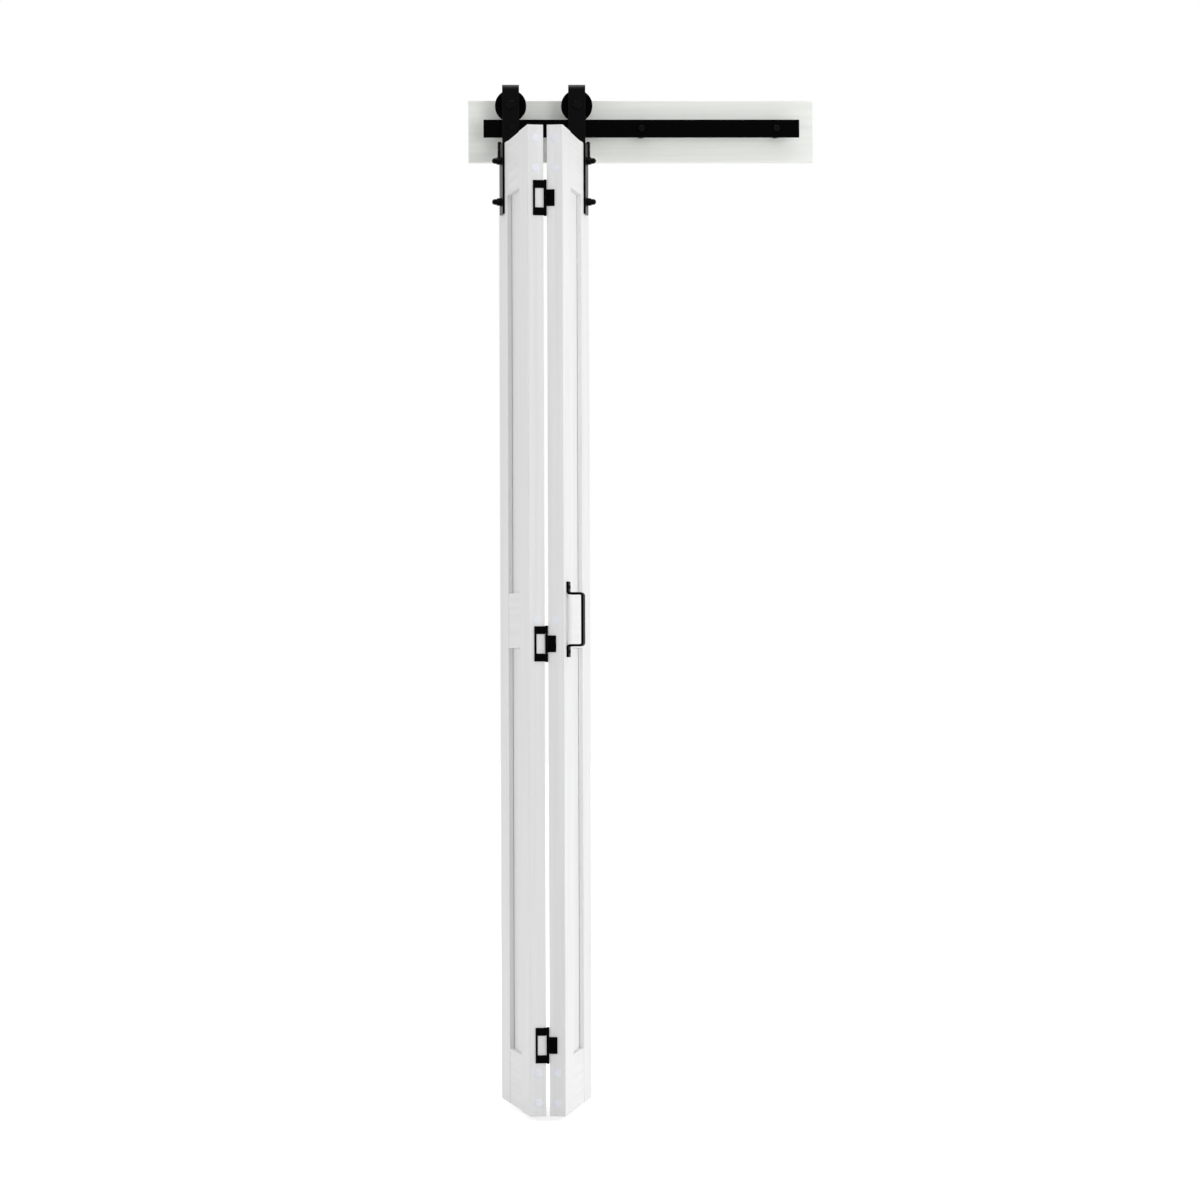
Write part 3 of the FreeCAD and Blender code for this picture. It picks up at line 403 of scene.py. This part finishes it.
def paint_material(name, colour, turn, stretch):
    """Satin paint on a board, its grain stretched in a frame that is turned about the upright."""
    material, tree, shader, vector = new_material(name, colour)
    laid = {"Vector": vector, "Rotation": (0.0, 0.0, turn), "Scale": stretch}
    grain = node(tree, "ShaderNodeMapping", laid, vector_type="TEXTURE").outputs[0]
    vectors = {"Vector": vector, "Grain Vector": grain}
    board = node(tree, "ShaderNodeGroup", vectors, node_tree=painted_board_group()).outputs
    finish = {
        "Base Color": mottled(tree, board["Streaks"], colour, PAINT_TONES),
        "Roughness": between(tree, board["Patches"], *PAINT_ROUGHNESS),
        "Specular IOR Level": PAINT_SPECULAR,
        "Normal": bumped(tree, board["Height"], PAINT_RELIEF),
    }
    set_inputs(tree, shader, finish)
    return material


def coated_material(name, colour, roughness, specular, sheen):
    """Powder coat or moulded plastic, with a clear skin that shows only where it is seen aslant."""
    material, tree, shader, vector = new_material(name, colour)
    skin = orange_peel(tree, vector)
    aslant = node(tree, "ShaderNodeLayerWeight", {"Blend": 0.5}).outputs["Facing"]
    finish = {
        "Base Color": mottled(tree, skin["Patches"], colour, COAT_TONES),
        "Roughness": between(tree, skin["Patches"], roughness - COAT_SPREAD, roughness + COAT_SPREAD),
        "Specular IOR Level": specular,
        "Coat Weight": reckon(tree, "MULTIPLY", aslant, sheen),
        "Coat Roughness": CLEAR_SKIN_ROUGHNESS,
        "Normal": bumped(tree, skin["Height"], COAT_RELIEF),
    }
    set_inputs(tree, shader, finish)
    return material


def turned_material(name, colour, centre, roughness, specular, metallic):
    """A turned or moulded wheel, with fine rings about its axle."""
    material, tree, shader, vector = new_material(name, colour)
    patches = orange_peel(tree, vector)["Patches"]
    placed = {"Vector": vector, "Location": centre}
    about = node(tree, "ShaderNodeMapping", placed, vector_type="TEXTURE").outputs[0]
    turned = node(tree, "ShaderNodeGroup", {"Vector": about}, node_tree=turned_rings_group())
    rings = turned.outputs["Height"]
    finish = {
        "Base Color": mottled(tree, patches, colour, WHEEL_TONES),
        "Roughness": between(tree, rings, roughness + WHEEL_SPREAD, roughness - WHEEL_SPREAD),
        "Specular IOR Level": specular,
        "Metallic": metallic,
        "Normal": bumped(tree, rings, RING_RELIEF),
    }
    set_inputs(tree, shader, finish)
    return material


def plated_material(name, colour, roughness):
    """Zinc plate."""
    material, tree, shader, vector = new_material(name, colour)
    patches = orange_peel(tree, vector)["Patches"]
    finish = {
        "Base Color": mottled(tree, patches, colour, PLATE_TONES),
        "Roughness": between(tree, patches, roughness - PLATE_SPREAD, roughness + PLATE_SPREAD),
        "Metallic": 1.0,
    }
    set_inputs(tree, shader, finish)
    return material


def black_coat(kind):
    """The finish of the black hardware: one of three powder coats, or the bolts' black oxide."""
    name = kind + "_black"
    if name in bpy.data.materials:
        return bpy.data.materials[name]
    colour = tuple(bpy.context.scene.bifold_door.colours.black_steel)
    return coated_material(name, colour, *BLACK_COATS[kind])


def coat_of(name):
    """Which black finish a node has."""
    if "hinge" in name or name in MATT_PIECES:
        return "matt"
    if "strap" in name:
        return "strap"
    return "oxide" if "bolt" in name else "satin"


def dress(piece, material):
    """Give a piece one finish."""
    piece.data.materials.clear()
    piece.data.materials.append(material)


# Modelling

# Steps that round an end off: each rises by a share of the end's height and keeps a share of its width.
CAP_STEPS = ((0.35, 0.96), (0.40, 0.80), (0.20, 0.55), (0.05, 0.20))
HEAD_STEPS = ((0.24, 0.94), (0.20, 0.84), (0.13, 0.68), (0.05, 0.45))
DOME_STEPS = ((0.34, 0.95), (0.30, 0.85), (0.22, 0.68), (0.11, 0.42), (0.03, 0.30))
PIN_FOOT_STEPS = ((-0.35, 0.94), (-0.15, 0.80))

# The share of a round head's height that its steps take up, above a straight rim.
HEAD_ROUNDED = 0.62

# The share of its width that a screw's shank keeps at the point, and a cross recess at its floor.
POINT_SHARE = 0.15
RECESS_FLOOR_SHARE = 0.55

# A face is picked where its normal points this nearly the way that is asked for.
FACING = 0.9

# Points nearer than this, in metres, count as one: in a CAD mesh or a thread, and in a new piece.
ONE_POINT = 1e-6
ONE_FINE_POINT = 1e-7

# Faces round one turn of a lag bolt's thread.
THREAD_STEPS = 20


def solids_of(name):
    """The separate solids of a CAD node, each as the list of its points."""
    mesh = bmesh.new()
    mesh.from_mesh(frame["nodes"][name].data)
    bmesh.ops.remove_doubles(mesh, verts=mesh.verts, dist=ONE_POINT)
    waiting = set(mesh.verts)
    found = []
    while waiting:
        reached = [waiting.pop()]
        for vertex in reached:
            for edge in vertex.link_edges:
                other = edge.other_vert(vertex)
                if other in waiting:
                    waiting.remove(other)
                    reached.append(other)
        found.append([vertex.co.copy() for vertex in reached])
    mesh.free()
    return found


def seat(points, outward, at_head):
    """Where a fastener that points outward sits on a solid: at the solid's head or at its foot."""
    turn = outward.to_track_quat("Z", "Y").to_matrix()
    local = [turn.transposed() @ point for point in points]
    low = [min(point[axis] for point in local) for axis in range(3)]
    high = [max(point[axis] for point in local) for axis in range(3)]
    level = high[2] if at_head else low[2]
    middle = turn @ Vector(((low[0] + high[0]) / 2, (low[1] + high[1]) / 2, level))
    return Matrix.Translation(middle) @ turn.to_4x4()


def new_rod(radius, low, high, sides):
    """A rod on the Z axis, left in edit mode with nothing selected."""
    bpy.ops.object.select_all(action="DESELECT")
    bpy.ops.mesh.primitive_cylinder_add(
        vertices=sides, radius=radius, depth=high - low, location=(0.0, 0.0, (low + high) / 2)
    )
    bpy.ops.object.transform_apply(location=True, rotation=True, scale=True)
    bpy.ops.object.mode_set(mode="EDIT")
    bpy.ops.mesh.select_mode(type="FACE")
    bpy.ops.mesh.select_all(action="DESELECT")
    return bpy.context.object


def pick_faces(piece, wanted):
    """In edit mode, select only the faces whose centre and normal pass a test."""
    bpy.ops.mesh.select_mode(type="FACE")
    bpy.ops.mesh.select_all(action="DESELECT")
    mesh = bmesh.from_edit_mesh(piece.data)
    for face in mesh.faces:
        if wanted(face.calc_center_median(), face.normal):
            face.select_set(True)
    bmesh.update_edit_mesh(piece.data)


def pick_end(piece, way):
    """Select the flat end of a rod that faces up, or down."""
    mesh = bmesh.from_edit_mesh(piece.data)
    end = max(way * face.calc_center_median().z for face in mesh.faces)
    pick_faces(
        piece,
        lambda centre, normal: way * normal.z > FACING and way * centre.z > end - ONE_FINE_POINT,
    )


def step_end(rise, share):
    """Draw the selected end out by a rise and bring it in to a share of its width."""
    bpy.ops.mesh.extrude_region_move(TRANSFORM_OT_translate={"value": (0.0, 0.0, rise)})
    bpy.ops.transform.resize(value=(share, share, 1.0))


def round_end(height, steps):
    """Round the selected end off in steps."""
    for rise, share in steps:
        step_end(rise * height, share)


def point_end(shank_radius):
    """Draw the selected end of a screw out to its point."""
    step_end(-2 * shank_radius, POINT_SHARE)


def finish_mesh(piece, smooth_angle):
    """Leave edit mode with the normals outward and the round faces smooth."""
    bpy.ops.mesh.select_all(action="SELECT")
    bpy.ops.mesh.remove_doubles(threshold=ONE_FINE_POINT)
    bpy.ops.mesh.normals_make_consistent(inside=False)
    bpy.ops.object.mode_set(mode="OBJECT")
    bpy.ops.object.select_all(action="DESELECT")
    piece.select_set(True)
    bpy.context.view_layer.objects.active = piece
    bpy.ops.object.shade_smooth_by_angle(angle=math.radians(smooth_angle))


def cut_recess(piece, top, sizes):
    """Cut a cross recess into a screw's head."""
    width = sizes.recess_width
    bpy.ops.object.select_all(action="DESELECT")
    bpy.ops.mesh.primitive_cube_add(size=width, location=(0.0, 0.0, top))
    cutter = bpy.context.object
    bpy.ops.object.transform_apply(location=True, rotation=True, scale=True)
    bpy.ops.object.mode_set(mode="EDIT")
    for way in (Vector((1, 0, 0)), Vector((-1, 0, 0)), Vector((0, 1, 0)), Vector((0, -1, 0))):
        middle = way * (width / 2) + Vector((0.0, 0.0, top))
        pick_faces(
            cutter,
            lambda centre, normal: normal.dot(way) > FACING and (centre - middle).length < width / 4,
        )
        reach = way * (sizes.recess_reach - width / 2)
        bpy.ops.mesh.extrude_region_move(TRANSFORM_OT_translate={"value": reach})
    bpy.ops.mesh.select_all(action="SELECT")
    depth_share = 2 * sizes.recess_depth / width
    bpy.ops.transform.resize(value=(1.0, 1.0, depth_share), center_override=(0.0, 0.0, top))
    pick_faces(cutter, lambda centre, normal: normal.z < -FACING)
    floor_size = (RECESS_FLOOR_SHARE, RECESS_FLOOR_SHARE, 1.0)
    bpy.ops.transform.resize(value=floor_size, center_override=(0.0, 0.0, top))
    bpy.ops.object.mode_set(mode="OBJECT")
    cut = piece.modifiers.new("recess", "BOOLEAN")
    cut.operation = "DIFFERENCE"
    cut.solver = "EXACT"
    cut.object = cutter
    bpy.ops.object.select_all(action="DESELECT")
    piece.select_set(True)
    bpy.context.view_layer.objects.active = piece
    bpy.ops.object.modifier_apply(modifier=cut.name)
    bpy.data.objects.remove(cutter, do_unlink=True)


def spread(piece, places, name):
    """Copy a modelled piece to each place and join the copies into one object at the origin."""
    copies = []
    for place in places:
        copy = piece.copy()
        copy.data = piece.data.copy()
        copy.data.transform(place)
        bpy.context.collection.objects.link(copy)
        copies.append(copy)
    bpy.data.objects.remove(piece, do_unlink=True)
    bpy.ops.object.select_all(action="DESELECT")
    for copy in copies:
        copy.select_set(True)
    bpy.context.view_layer.objects.active = copies[0]
    bpy.ops.object.join()
    joined = bpy.context.object
    joined.name = name
    joined.data.name = name
    return joined


# Operators


class BIFOLD_OT_panels(bpy.types.Operator):
    """Paint the stiles, rails and infill boards of both panels"""

    bl_idname = "bifold.panels"
    bl_label = "Panels"

    def execute(self, context):
        colour = tuple(context.scene.bifold_door.colours.door_paint)
        for side in SIDES:
            upright = paint_material(side + "_upright_paint", colour, PANEL_TURN[side], UPRIGHT_GRAIN)
            level = paint_material(side + "_level_paint", colour, PANEL_TURN[side], LEVEL_GRAIN)
            for board in UPRIGHT_BOARDS:
                dress(frame["nodes"][side + "_" + board], upright)
            for board in LEVEL_BOARDS:
                dress(frame["nodes"][side + "_" + board], level)
        return {"FINISHED"}


class BIFOLD_OT_header(bpy.types.Operator):
    """Paint the header board"""

    bl_idname = "bifold.header"
    bl_label = "Header board"

    def execute(self, context):
        colour = tuple(context.scene.bifold_door.colours.header_paint)
        paint = paint_material("header_paint", colour, 0.0, LEVEL_GRAIN)
        dress(frame["nodes"]["header_board"], paint)
        return {"FINISHED"}


class BIFOLD_OT_black_hardware(bpy.types.Operator):
    """Coat the track, hangers, door plates, hinges and handle"""

    bl_idname = "bifold.black_hardware"
    bl_label = "Black hardware"

    def execute(self, context):
        for name, finish in finish_of.items():
            if finish == "black_steel":
                dress(frame["nodes"][name], black_coat(coat_of(name)))
        return {"FINISHED"}


class BIFOLD_OT_wheels(bpy.types.Operator):
    """Finish the grooved wheels and their bearings"""

    bl_idname = "bifold.wheels"
    bl_label = "Wheels"

    def execute(self, context):
        colours = context.scene.bifold_door.colours
        for side in SIDES:
            centre = AXLES[side]
            nylon = turned_material(
                side + "_wheel_nylon",
                tuple(colours.wheel_nylon),
                centre,
                roughness=0.55,
                specular=0.01,
                metallic=0.0,
            )
            steel = turned_material(
                side + "_bearing_steel",
                tuple(colours.bearing_steel),
                centre,
                roughness=0.35,
                specular=0.5,
                metallic=1.0,
            )
            dress(frame["nodes"][side + "_wheel"], nylon)
            dress(frame["nodes"][side + "_wheel_bearing"], steel)
        return {"FINISHED"}


class BIFOLD_OT_frame_bolts(bpy.types.Operator):
    """Plate the bolts and inserts that hold the panels' frames together"""

    bl_idname = "bifold.frame_bolts"
    bl_label = "Frame bolts"

    def execute(self, context):
        colour = tuple(context.scene.bifold_door.colours.zinc_steel)
        zinc = plated_material("zinc_plate", colour, roughness=0.35)
        for side in SIDES:
            dress(frame["nodes"][side + "_frame_bolts"], zinc)
            dress(frame["nodes"][side + "_insert_nuts"], zinc)
        return {"FINISHED"}


class BIFOLD_OT_bolt_caps(bpy.types.Operator):
    """Model the crowned caps over the frame bolts"""

    bl_idname = "bifold.bolt_caps"
    bl_label = "Bolt caps"

    def execute(self, context):
        door = context.scene.bifold_door
        colour = tuple(door.colours.cap_plastic)
        plastic = coated_material("cap_plastic", colour, roughness=0.34, specular=0.5, sheen=0.2)
        for side in SIDES:
            node_name = side + "_bolt_caps"
            cap = self.cap(door.sizes)
            caps = spread(cap, self.places(side, node_name), side + "_crowned_caps")
            dress(caps, plastic)
            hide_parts(node_name)
            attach(caps, side + "_panel")
        return {"FINISHED"}

    def cap(self, sizes):
        cap = new_rod(sizes.cap_radius, 0.0, sizes.cap_rim, sides=48)
        pick_end(cap, 1)
        round_end(sizes.cap_crown, CAP_STEPS)
        finish_mesh(cap, smooth_angle=30)
        return cap

    def places(self, side, node_name):
        """The caps on the hinge edge face along the panel, and the rest face the other way."""
        solids = solids_of(node_name)
        along = ALONG_PANEL[side]
        middles = [sum(points, Vector()).dot(along) / len(points) for points in solids]
        halfway = (min(middles) + max(middles)) / 2
        found = []
        for points, middle in zip(solids, middles):
            outward = along if middle > halfway else -along
            found.append(seat(points, outward, False))
        return found


class BIFOLD_OT_hinge_screws(bpy.types.Operator):
    """Model the countersunk screws of the hinges"""

    bl_idname = "bifold.hinge_screws"
    bl_label = "Hinge screws"

    def execute(self, context):
        sizes = context.scene.bifold_door.sizes
        for side in SIDES:
            node_name = side + "_hinge_screws"
            screw = self.screw(sizes)
            places = [seat(points, ALONG_PANEL[side], True) for points in solids_of(node_name)]
            screws = spread(screw, places, side + "_countersunk_screws")
            dress(screws, black_coat("matt"))
            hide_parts(node_name)
            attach(screws, side + "_panel")
        return {"FINISHED"}

    def screw(self, sizes):
        """A head with a thin rim over its cone, the shank, and a point."""
        rim = sizes.hinge_head_radius / 12
        cone = sizes.hinge_head_radius - sizes.hinge_shank_radius
        screw = new_rod(sizes.hinge_head_radius, -rim, 0.0, sides=32)
        pick_end(screw, -1)
        step_end(-cone, sizes.hinge_shank_radius / sizes.hinge_head_radius)
        step_end(-(sizes.hinge_screw_length - cone - 3 * sizes.hinge_shank_radius), 1.0)
        point_end(sizes.hinge_shank_radius)
        finish_mesh(screw, smooth_angle=30)
        cut_recess(screw, 0.0, sizes)
        return screw


class BIFOLD_OT_handle_screws(bpy.types.Operator):
    """Model the round-headed screws of the handle"""

    bl_idname = "bifold.handle_screws"
    bl_label = "Handle screws"

    def execute(self, context):
        sizes = context.scene.bifold_door.sizes
        screw = self.screw(sizes)
        outward = PANEL_FRONT["right"]
        places = [seat(points, outward, True) for points in solids_of("handle_screws")]
        screws = spread(screw, places, "round_head_screws")
        dress(screws, black_coat("oxide"))
        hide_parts("handle_screws")
        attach(screws, "right_panel")
        return {"FINISHED"}

    def screw(self, sizes):
        """A round head on a straight rim, the shank, and a point."""
        height = sizes.handle_head_height
        screw = new_rod(sizes.handle_head_radius, -height, -HEAD_ROUNDED * height, sides=40)
        pick_end(screw, 1)
        round_end(height, HEAD_STEPS)
        pick_end(screw, -1)
        bpy.ops.mesh.inset(thickness=sizes.handle_head_radius - sizes.handle_shank_radius)
        step_end(-(sizes.handle_screw_length - 2 * sizes.handle_shank_radius), 1.0)
        point_end(sizes.handle_shank_radius)
        finish_mesh(screw, smooth_angle=30)
        cut_recess(screw, 0.0, sizes)
        return screw


class BIFOLD_OT_swivel_pins(bpy.types.Operator):
    """Model the pins that the panels swivel on, with their peened tops"""

    bl_idname = "bifold.swivel_pins"
    bl_label = "Swivel pins"

    def execute(self, context):
        sizes = context.scene.bifold_door.sizes
        for side in SIDES:
            node_name = side + "_swivel_pin"
            low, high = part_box(node_name)
            pin = self.pin(sizes, high[2] - low[2])
            place = seat(solids_of(node_name)[0], UPWARD, False)
            pin = spread(pin, [place], side + "_peened_pin")
            dress(pin, black_coat("satin"))
            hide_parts(node_name)
            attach(pin, HANGER_BODY[side])
        return {"FINISHED"}

    def pin(self, sizes, length):
        """A rounded lower head, the shank, and a domed head on top."""
        head = sizes.pin_head_height
        narrow = sizes.pin_shank_radius / sizes.pin_head_radius
        pin = new_rod(sizes.pin_head_radius, head / 2, head, sides=32)
        pick_end(pin, -1)
        round_end(head, PIN_FOOT_STEPS)
        pick_end(pin, 1)
        bpy.ops.mesh.inset(thickness=sizes.pin_head_radius - sizes.pin_shank_radius)
        step_end(length - 2 * head, 1.0)
        step_end(0.0, 1.0 / narrow)
        step_end(head / 2, 1.0)
        round_end(sizes.pin_dome, DOME_STEPS)
        finish_mesh(pin, smooth_angle=35)
        return pin


class BIFOLD_OT_lag_threads(bpy.types.Operator):
    """Model the threads of the lag bolts that go into the wall"""

    bl_idname = "bifold.lag_threads"
    bl_label = "Lag threads"

    def execute(self, context):
        sizes = context.scene.bifold_door.sizes
        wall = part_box("header_board")[1][1]
        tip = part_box("track_lag_bolts")[1][1]
        length = tip - wall - sizes.thread_point
        thread = self.thread(sizes, length)
        places = []
        for points in solids_of("track_lag_bolts"):
            place = seat(points, INTO_WALL, True)
            places.append(place @ Matrix.Translation((0.0, 0.0, -sizes.thread_point - length)))
        threads = spread(thread, places, "lag_bolt_threads")
        dress(threads, black_coat("oxide"))
        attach(threads, "wall_track")
        return {"FINISHED"}

    def thread(self, sizes, length):
        """A V-shaped ridge wound up the Z axis, closed at both ends."""
        pitch = sizes.thread_pitch
        middle = (0.0, 0.0, 0.0)
        bpy.ops.object.select_all(action="DESELECT")
        bpy.ops.mesh.primitive_plane_add(size=pitch / math.sqrt(2))
        thread = bpy.context.object
        bpy.ops.object.mode_set(mode="EDIT")
        bpy.ops.mesh.select_all(action="SELECT")
        bpy.ops.transform.rotate(value=math.radians(45), orient_axis="Z", center_override=middle)
        bpy.ops.transform.rotate(value=math.radians(90), orient_axis="X", center_override=middle)
        depth_share = (sizes.thread_crest - sizes.thread_root) / (pitch / 2)
        bpy.ops.transform.resize(value=(depth_share, 1.0, 1.0), center_override=middle)
        bpy.ops.transform.translate(value=(sizes.thread_root, 0.0, pitch / 2))
        bpy.ops.mesh.select_mode(type="VERT")
        bpy.ops.mesh.select_all(action="DESELECT")
        mesh = bmesh.from_edit_mesh(thread.data)
        inner = min(mesh.verts, key=lambda vertex: vertex.co.x)
        inner.select_set(True)
        bmesh.update_edit_mesh(thread.data)
        bpy.ops.mesh.delete(type="VERT")
        bpy.ops.object.mode_set(mode="OBJECT")
        wind = thread.modifiers.new("wind", "SCREW")
        wind.screw_offset = pitch
        wind.iterations = int(length / pitch) - 1
        wind.steps = THREAD_STEPS
        wind.render_steps = THREAD_STEPS
        wind.use_merge_vertices = True
        bpy.ops.object.modifier_apply(modifier=wind.name)
        bpy.ops.object.mode_set(mode="EDIT")
        bpy.ops.mesh.select_all(action="SELECT")
        bpy.ops.mesh.remove_doubles(threshold=ONE_POINT)
        bpy.ops.mesh.fill_holes(sides=0)
        finish_mesh(thread, smooth_angle=40)
        return thread


# The place of each soft lamp, its width and its height, in metres, and the point that they all face.
LAMPS = {
    "key_light": ((3.2, -5.6, 0.2), 2.4, 3.0),
    "right_light": ((4.0, -1.2, -0.7), 4.5, 3.6),
    "left_light": ((-4.0, -1.6, -0.7), 4.5, 3.6),
    "top_light": ((-0.1, -2.2, 2.6), 3.0, 1.6),
    "rim_light": ((-0.1, -0.05, 2.6), 1.6, 0.6),
}
LAMP_AIM = Vector((-0.1, -0.2, -0.8))

WHITE = (1.0, 1.0, 1.0, 1.0)

# The floor's width in metres, its colour, and the glow that makes it as white as the surround.
FLOOR_SIZE = 60.0
FLOOR_COLOUR = (0.80, 0.80, 0.80, 1.0)
FLOOR_GLOW = 0.66

# The width of the camera's frame in millimetres, and how far it sees in metres.
SENSOR_WIDTH = 36.0
VIEW_REACH = 200.0


class BIFOLD_OT_stage(bpy.types.Operator):
    """Set the floor, the lights, the white surround and the camera"""

    bl_idname = "bifold.stage"
    bl_label = "Stage"

    def execute(self, context):
        stage = context.scene.bifold_door.stage
        self.surround(context.scene, stage)
        self.floor(stage)
        for name, (place, width, height) in LAMPS.items():
            self.lamp(name, place, width, height, getattr(stage, name))
        self.camera(context.scene, stage)
        context.scene.view_settings.view_transform = "Standard"
        return {"FINISHED"}

    def shown(self, tree, plain, white):
        """The plain shader for light on the door, and the white one for the camera and reflections."""
        rays = node(tree, "ShaderNodeLightPath").outputs
        reflected = reckon(tree, "MAXIMUM", rays["Is Glossy Ray"], rays["Is Transmission Ray"])
        seen = reckon(tree, "MAXIMUM", rays["Is Camera Ray"], reflected)
        mix = node(tree, "ShaderNodeMixShader", {0: seen, 1: plain.outputs[0], 2: white.outputs[0]})
        return mix.outputs[0]

    def surround(self, scene, stage):
        world = bpy.data.worlds.new("white_surround")
        scene.world = world
        world.use_nodes = True
        tree = world.node_tree
        tree.nodes.clear()
        outward = node(tree, "ShaderNodeTexCoord").outputs["Generated"]
        way = node(tree, "ShaderNodeSeparateXYZ", {0: outward})
        span = {"From Min": -1.0, "To Min": stage.front_surround, "To Max": stage.back_surround}
        strength = node(tree, "ShaderNodeMapRange", {"Value": way.outputs["Y"], **span}).outputs[0]
        light = node(tree, "ShaderNodeBackground", {"Color": WHITE, "Strength": strength})
        white = node(tree, "ShaderNodeBackground", {"Color": WHITE, "Strength": 1.0})
        node(tree, "ShaderNodeOutputWorld", {"Surface": self.shown(tree, light, white)})

    def floor(self, stage):
        bpy.ops.object.select_all(action="DESELECT")
        level = cad_low.z - stage.floor_gap
        bpy.ops.mesh.primitive_plane_add(size=FLOOR_SIZE, location=(0.0, 0.0, level))
        floor = bpy.context.object
        floor.name = "floor"
        material = bpy.data.materials.new("pale_floor")
        material.use_nodes = True
        tree = material.node_tree
        tree.nodes.clear()
        matt = node(tree, "ShaderNodeBsdfDiffuse", {"Color": FLOOR_COLOUR})
        glow = node(tree, "ShaderNodeEmission", {"Color": WHITE, "Strength": FLOOR_GLOW})
        both = node(tree, "ShaderNodeAddShader", {0: matt.outputs[0], 1: glow.outputs[0]})
        node(tree, "ShaderNodeOutputMaterial", {"Surface": self.shown(tree, matt, both)})
        floor.data.materials.append(material)

    def lamp(self, name, place, width, height, power):
        """A soft lamp that faces the door."""
        bpy.ops.object.light_add(type="AREA", location=place)
        lamp = bpy.context.object
        lamp.name = name
        lamp.data.shape = "RECTANGLE"
        lamp.data.size = width
        lamp.data.size_y = height
        lamp.data.energy = power
        aim = LAMP_AIM - lamp.location
        lamp.rotation_euler = aim.to_track_quat("-Z", "Y").to_euler()

    def camera(self, scene, stage):
        data = bpy.data.cameras.new("camera")
        camera = bpy.data.objects.new("camera", data)
        scene.collection.objects.link(camera)
        data.sensor_width = SENSOR_WIDTH
        data.lens = stage.camera_lens
        data.clip_end = VIEW_REACH
        yaw, pitch, roll = stage.camera_yaw, stage.camera_pitch, stage.camera_roll
        level = math.cos(pitch)
        forward = Vector((math.sin(yaw) * level, math.cos(yaw) * level, math.sin(pitch)))
        aside = Vector((math.cos(yaw), -math.sin(yaw), 0.0))
        above = aside.cross(forward)
        right = aside * math.cos(roll) + above * math.sin(roll)
        up = above * math.cos(roll) - aside * math.sin(roll)
        turn = Matrix((right, up, -forward)).transposed()
        camera.matrix_world = Matrix.Translation(stage.camera_place) @ turn.to_4x4()
        scene.camera = camera


class BIFOLD_PT_door(bpy.types.Panel):
    """Lists the door's pieces, the stage and their settings"""

    bl_idname = "BIFOLD_PT_door"
    bl_label = "Bi-fold door"
    bl_space_type = "VIEW_3D"
    bl_region_type = "UI"
    bl_category = "Bi-fold door"

    def draw(self, context):
        for operator in OPERATORS:
            self.layout.operator(operator.bl_idname)
        door = context.scene.bifold_door
        for settings in (door.colours, door.sizes, door.stage):
            box = self.layout.box()
            for name in settings.__annotations__:
                box.prop(settings, name)


SETTINGS = (BifoldColours, BifoldSizes, BifoldStage, BifoldDoor)
OPERATORS = (
    BIFOLD_OT_panels,
    BIFOLD_OT_header,
    BIFOLD_OT_black_hardware,
    BIFOLD_OT_wheels,
    BIFOLD_OT_frame_bolts,
    BIFOLD_OT_bolt_caps,
    BIFOLD_OT_hinge_screws,
    BIFOLD_OT_handle_screws,
    BIFOLD_OT_swivel_pins,
    BIFOLD_OT_lag_threads,
    BIFOLD_OT_stage,
)


def register():
    for kind in (*SETTINGS, *OPERATORS, BIFOLD_PT_door):
        bpy.utils.register_class(kind)
    bpy.types.Scene.bifold_door = bpy.props.PointerProperty(type=BifoldDoor)


def unregister():
    del bpy.types.Scene.bifold_door
    for kind in reversed((*SETTINGS, *OPERATORS, BIFOLD_PT_door)):
        bpy.utils.unregister_class(kind)


def main():
    register()
    bpy.ops.bifold.panels()
    bpy.ops.bifold.header()
    bpy.ops.bifold.black_hardware()
    bpy.ops.bifold.wheels()
    bpy.ops.bifold.frame_bolts()
    bpy.ops.bifold.bolt_caps()
    bpy.ops.bifold.hinge_screws()
    bpy.ops.bifold.handle_screws()
    bpy.ops.bifold.swivel_pins()
    bpy.ops.bifold.lag_threads()
    bpy.ops.bifold.stage()


if __name__ == "__main__":
    main()
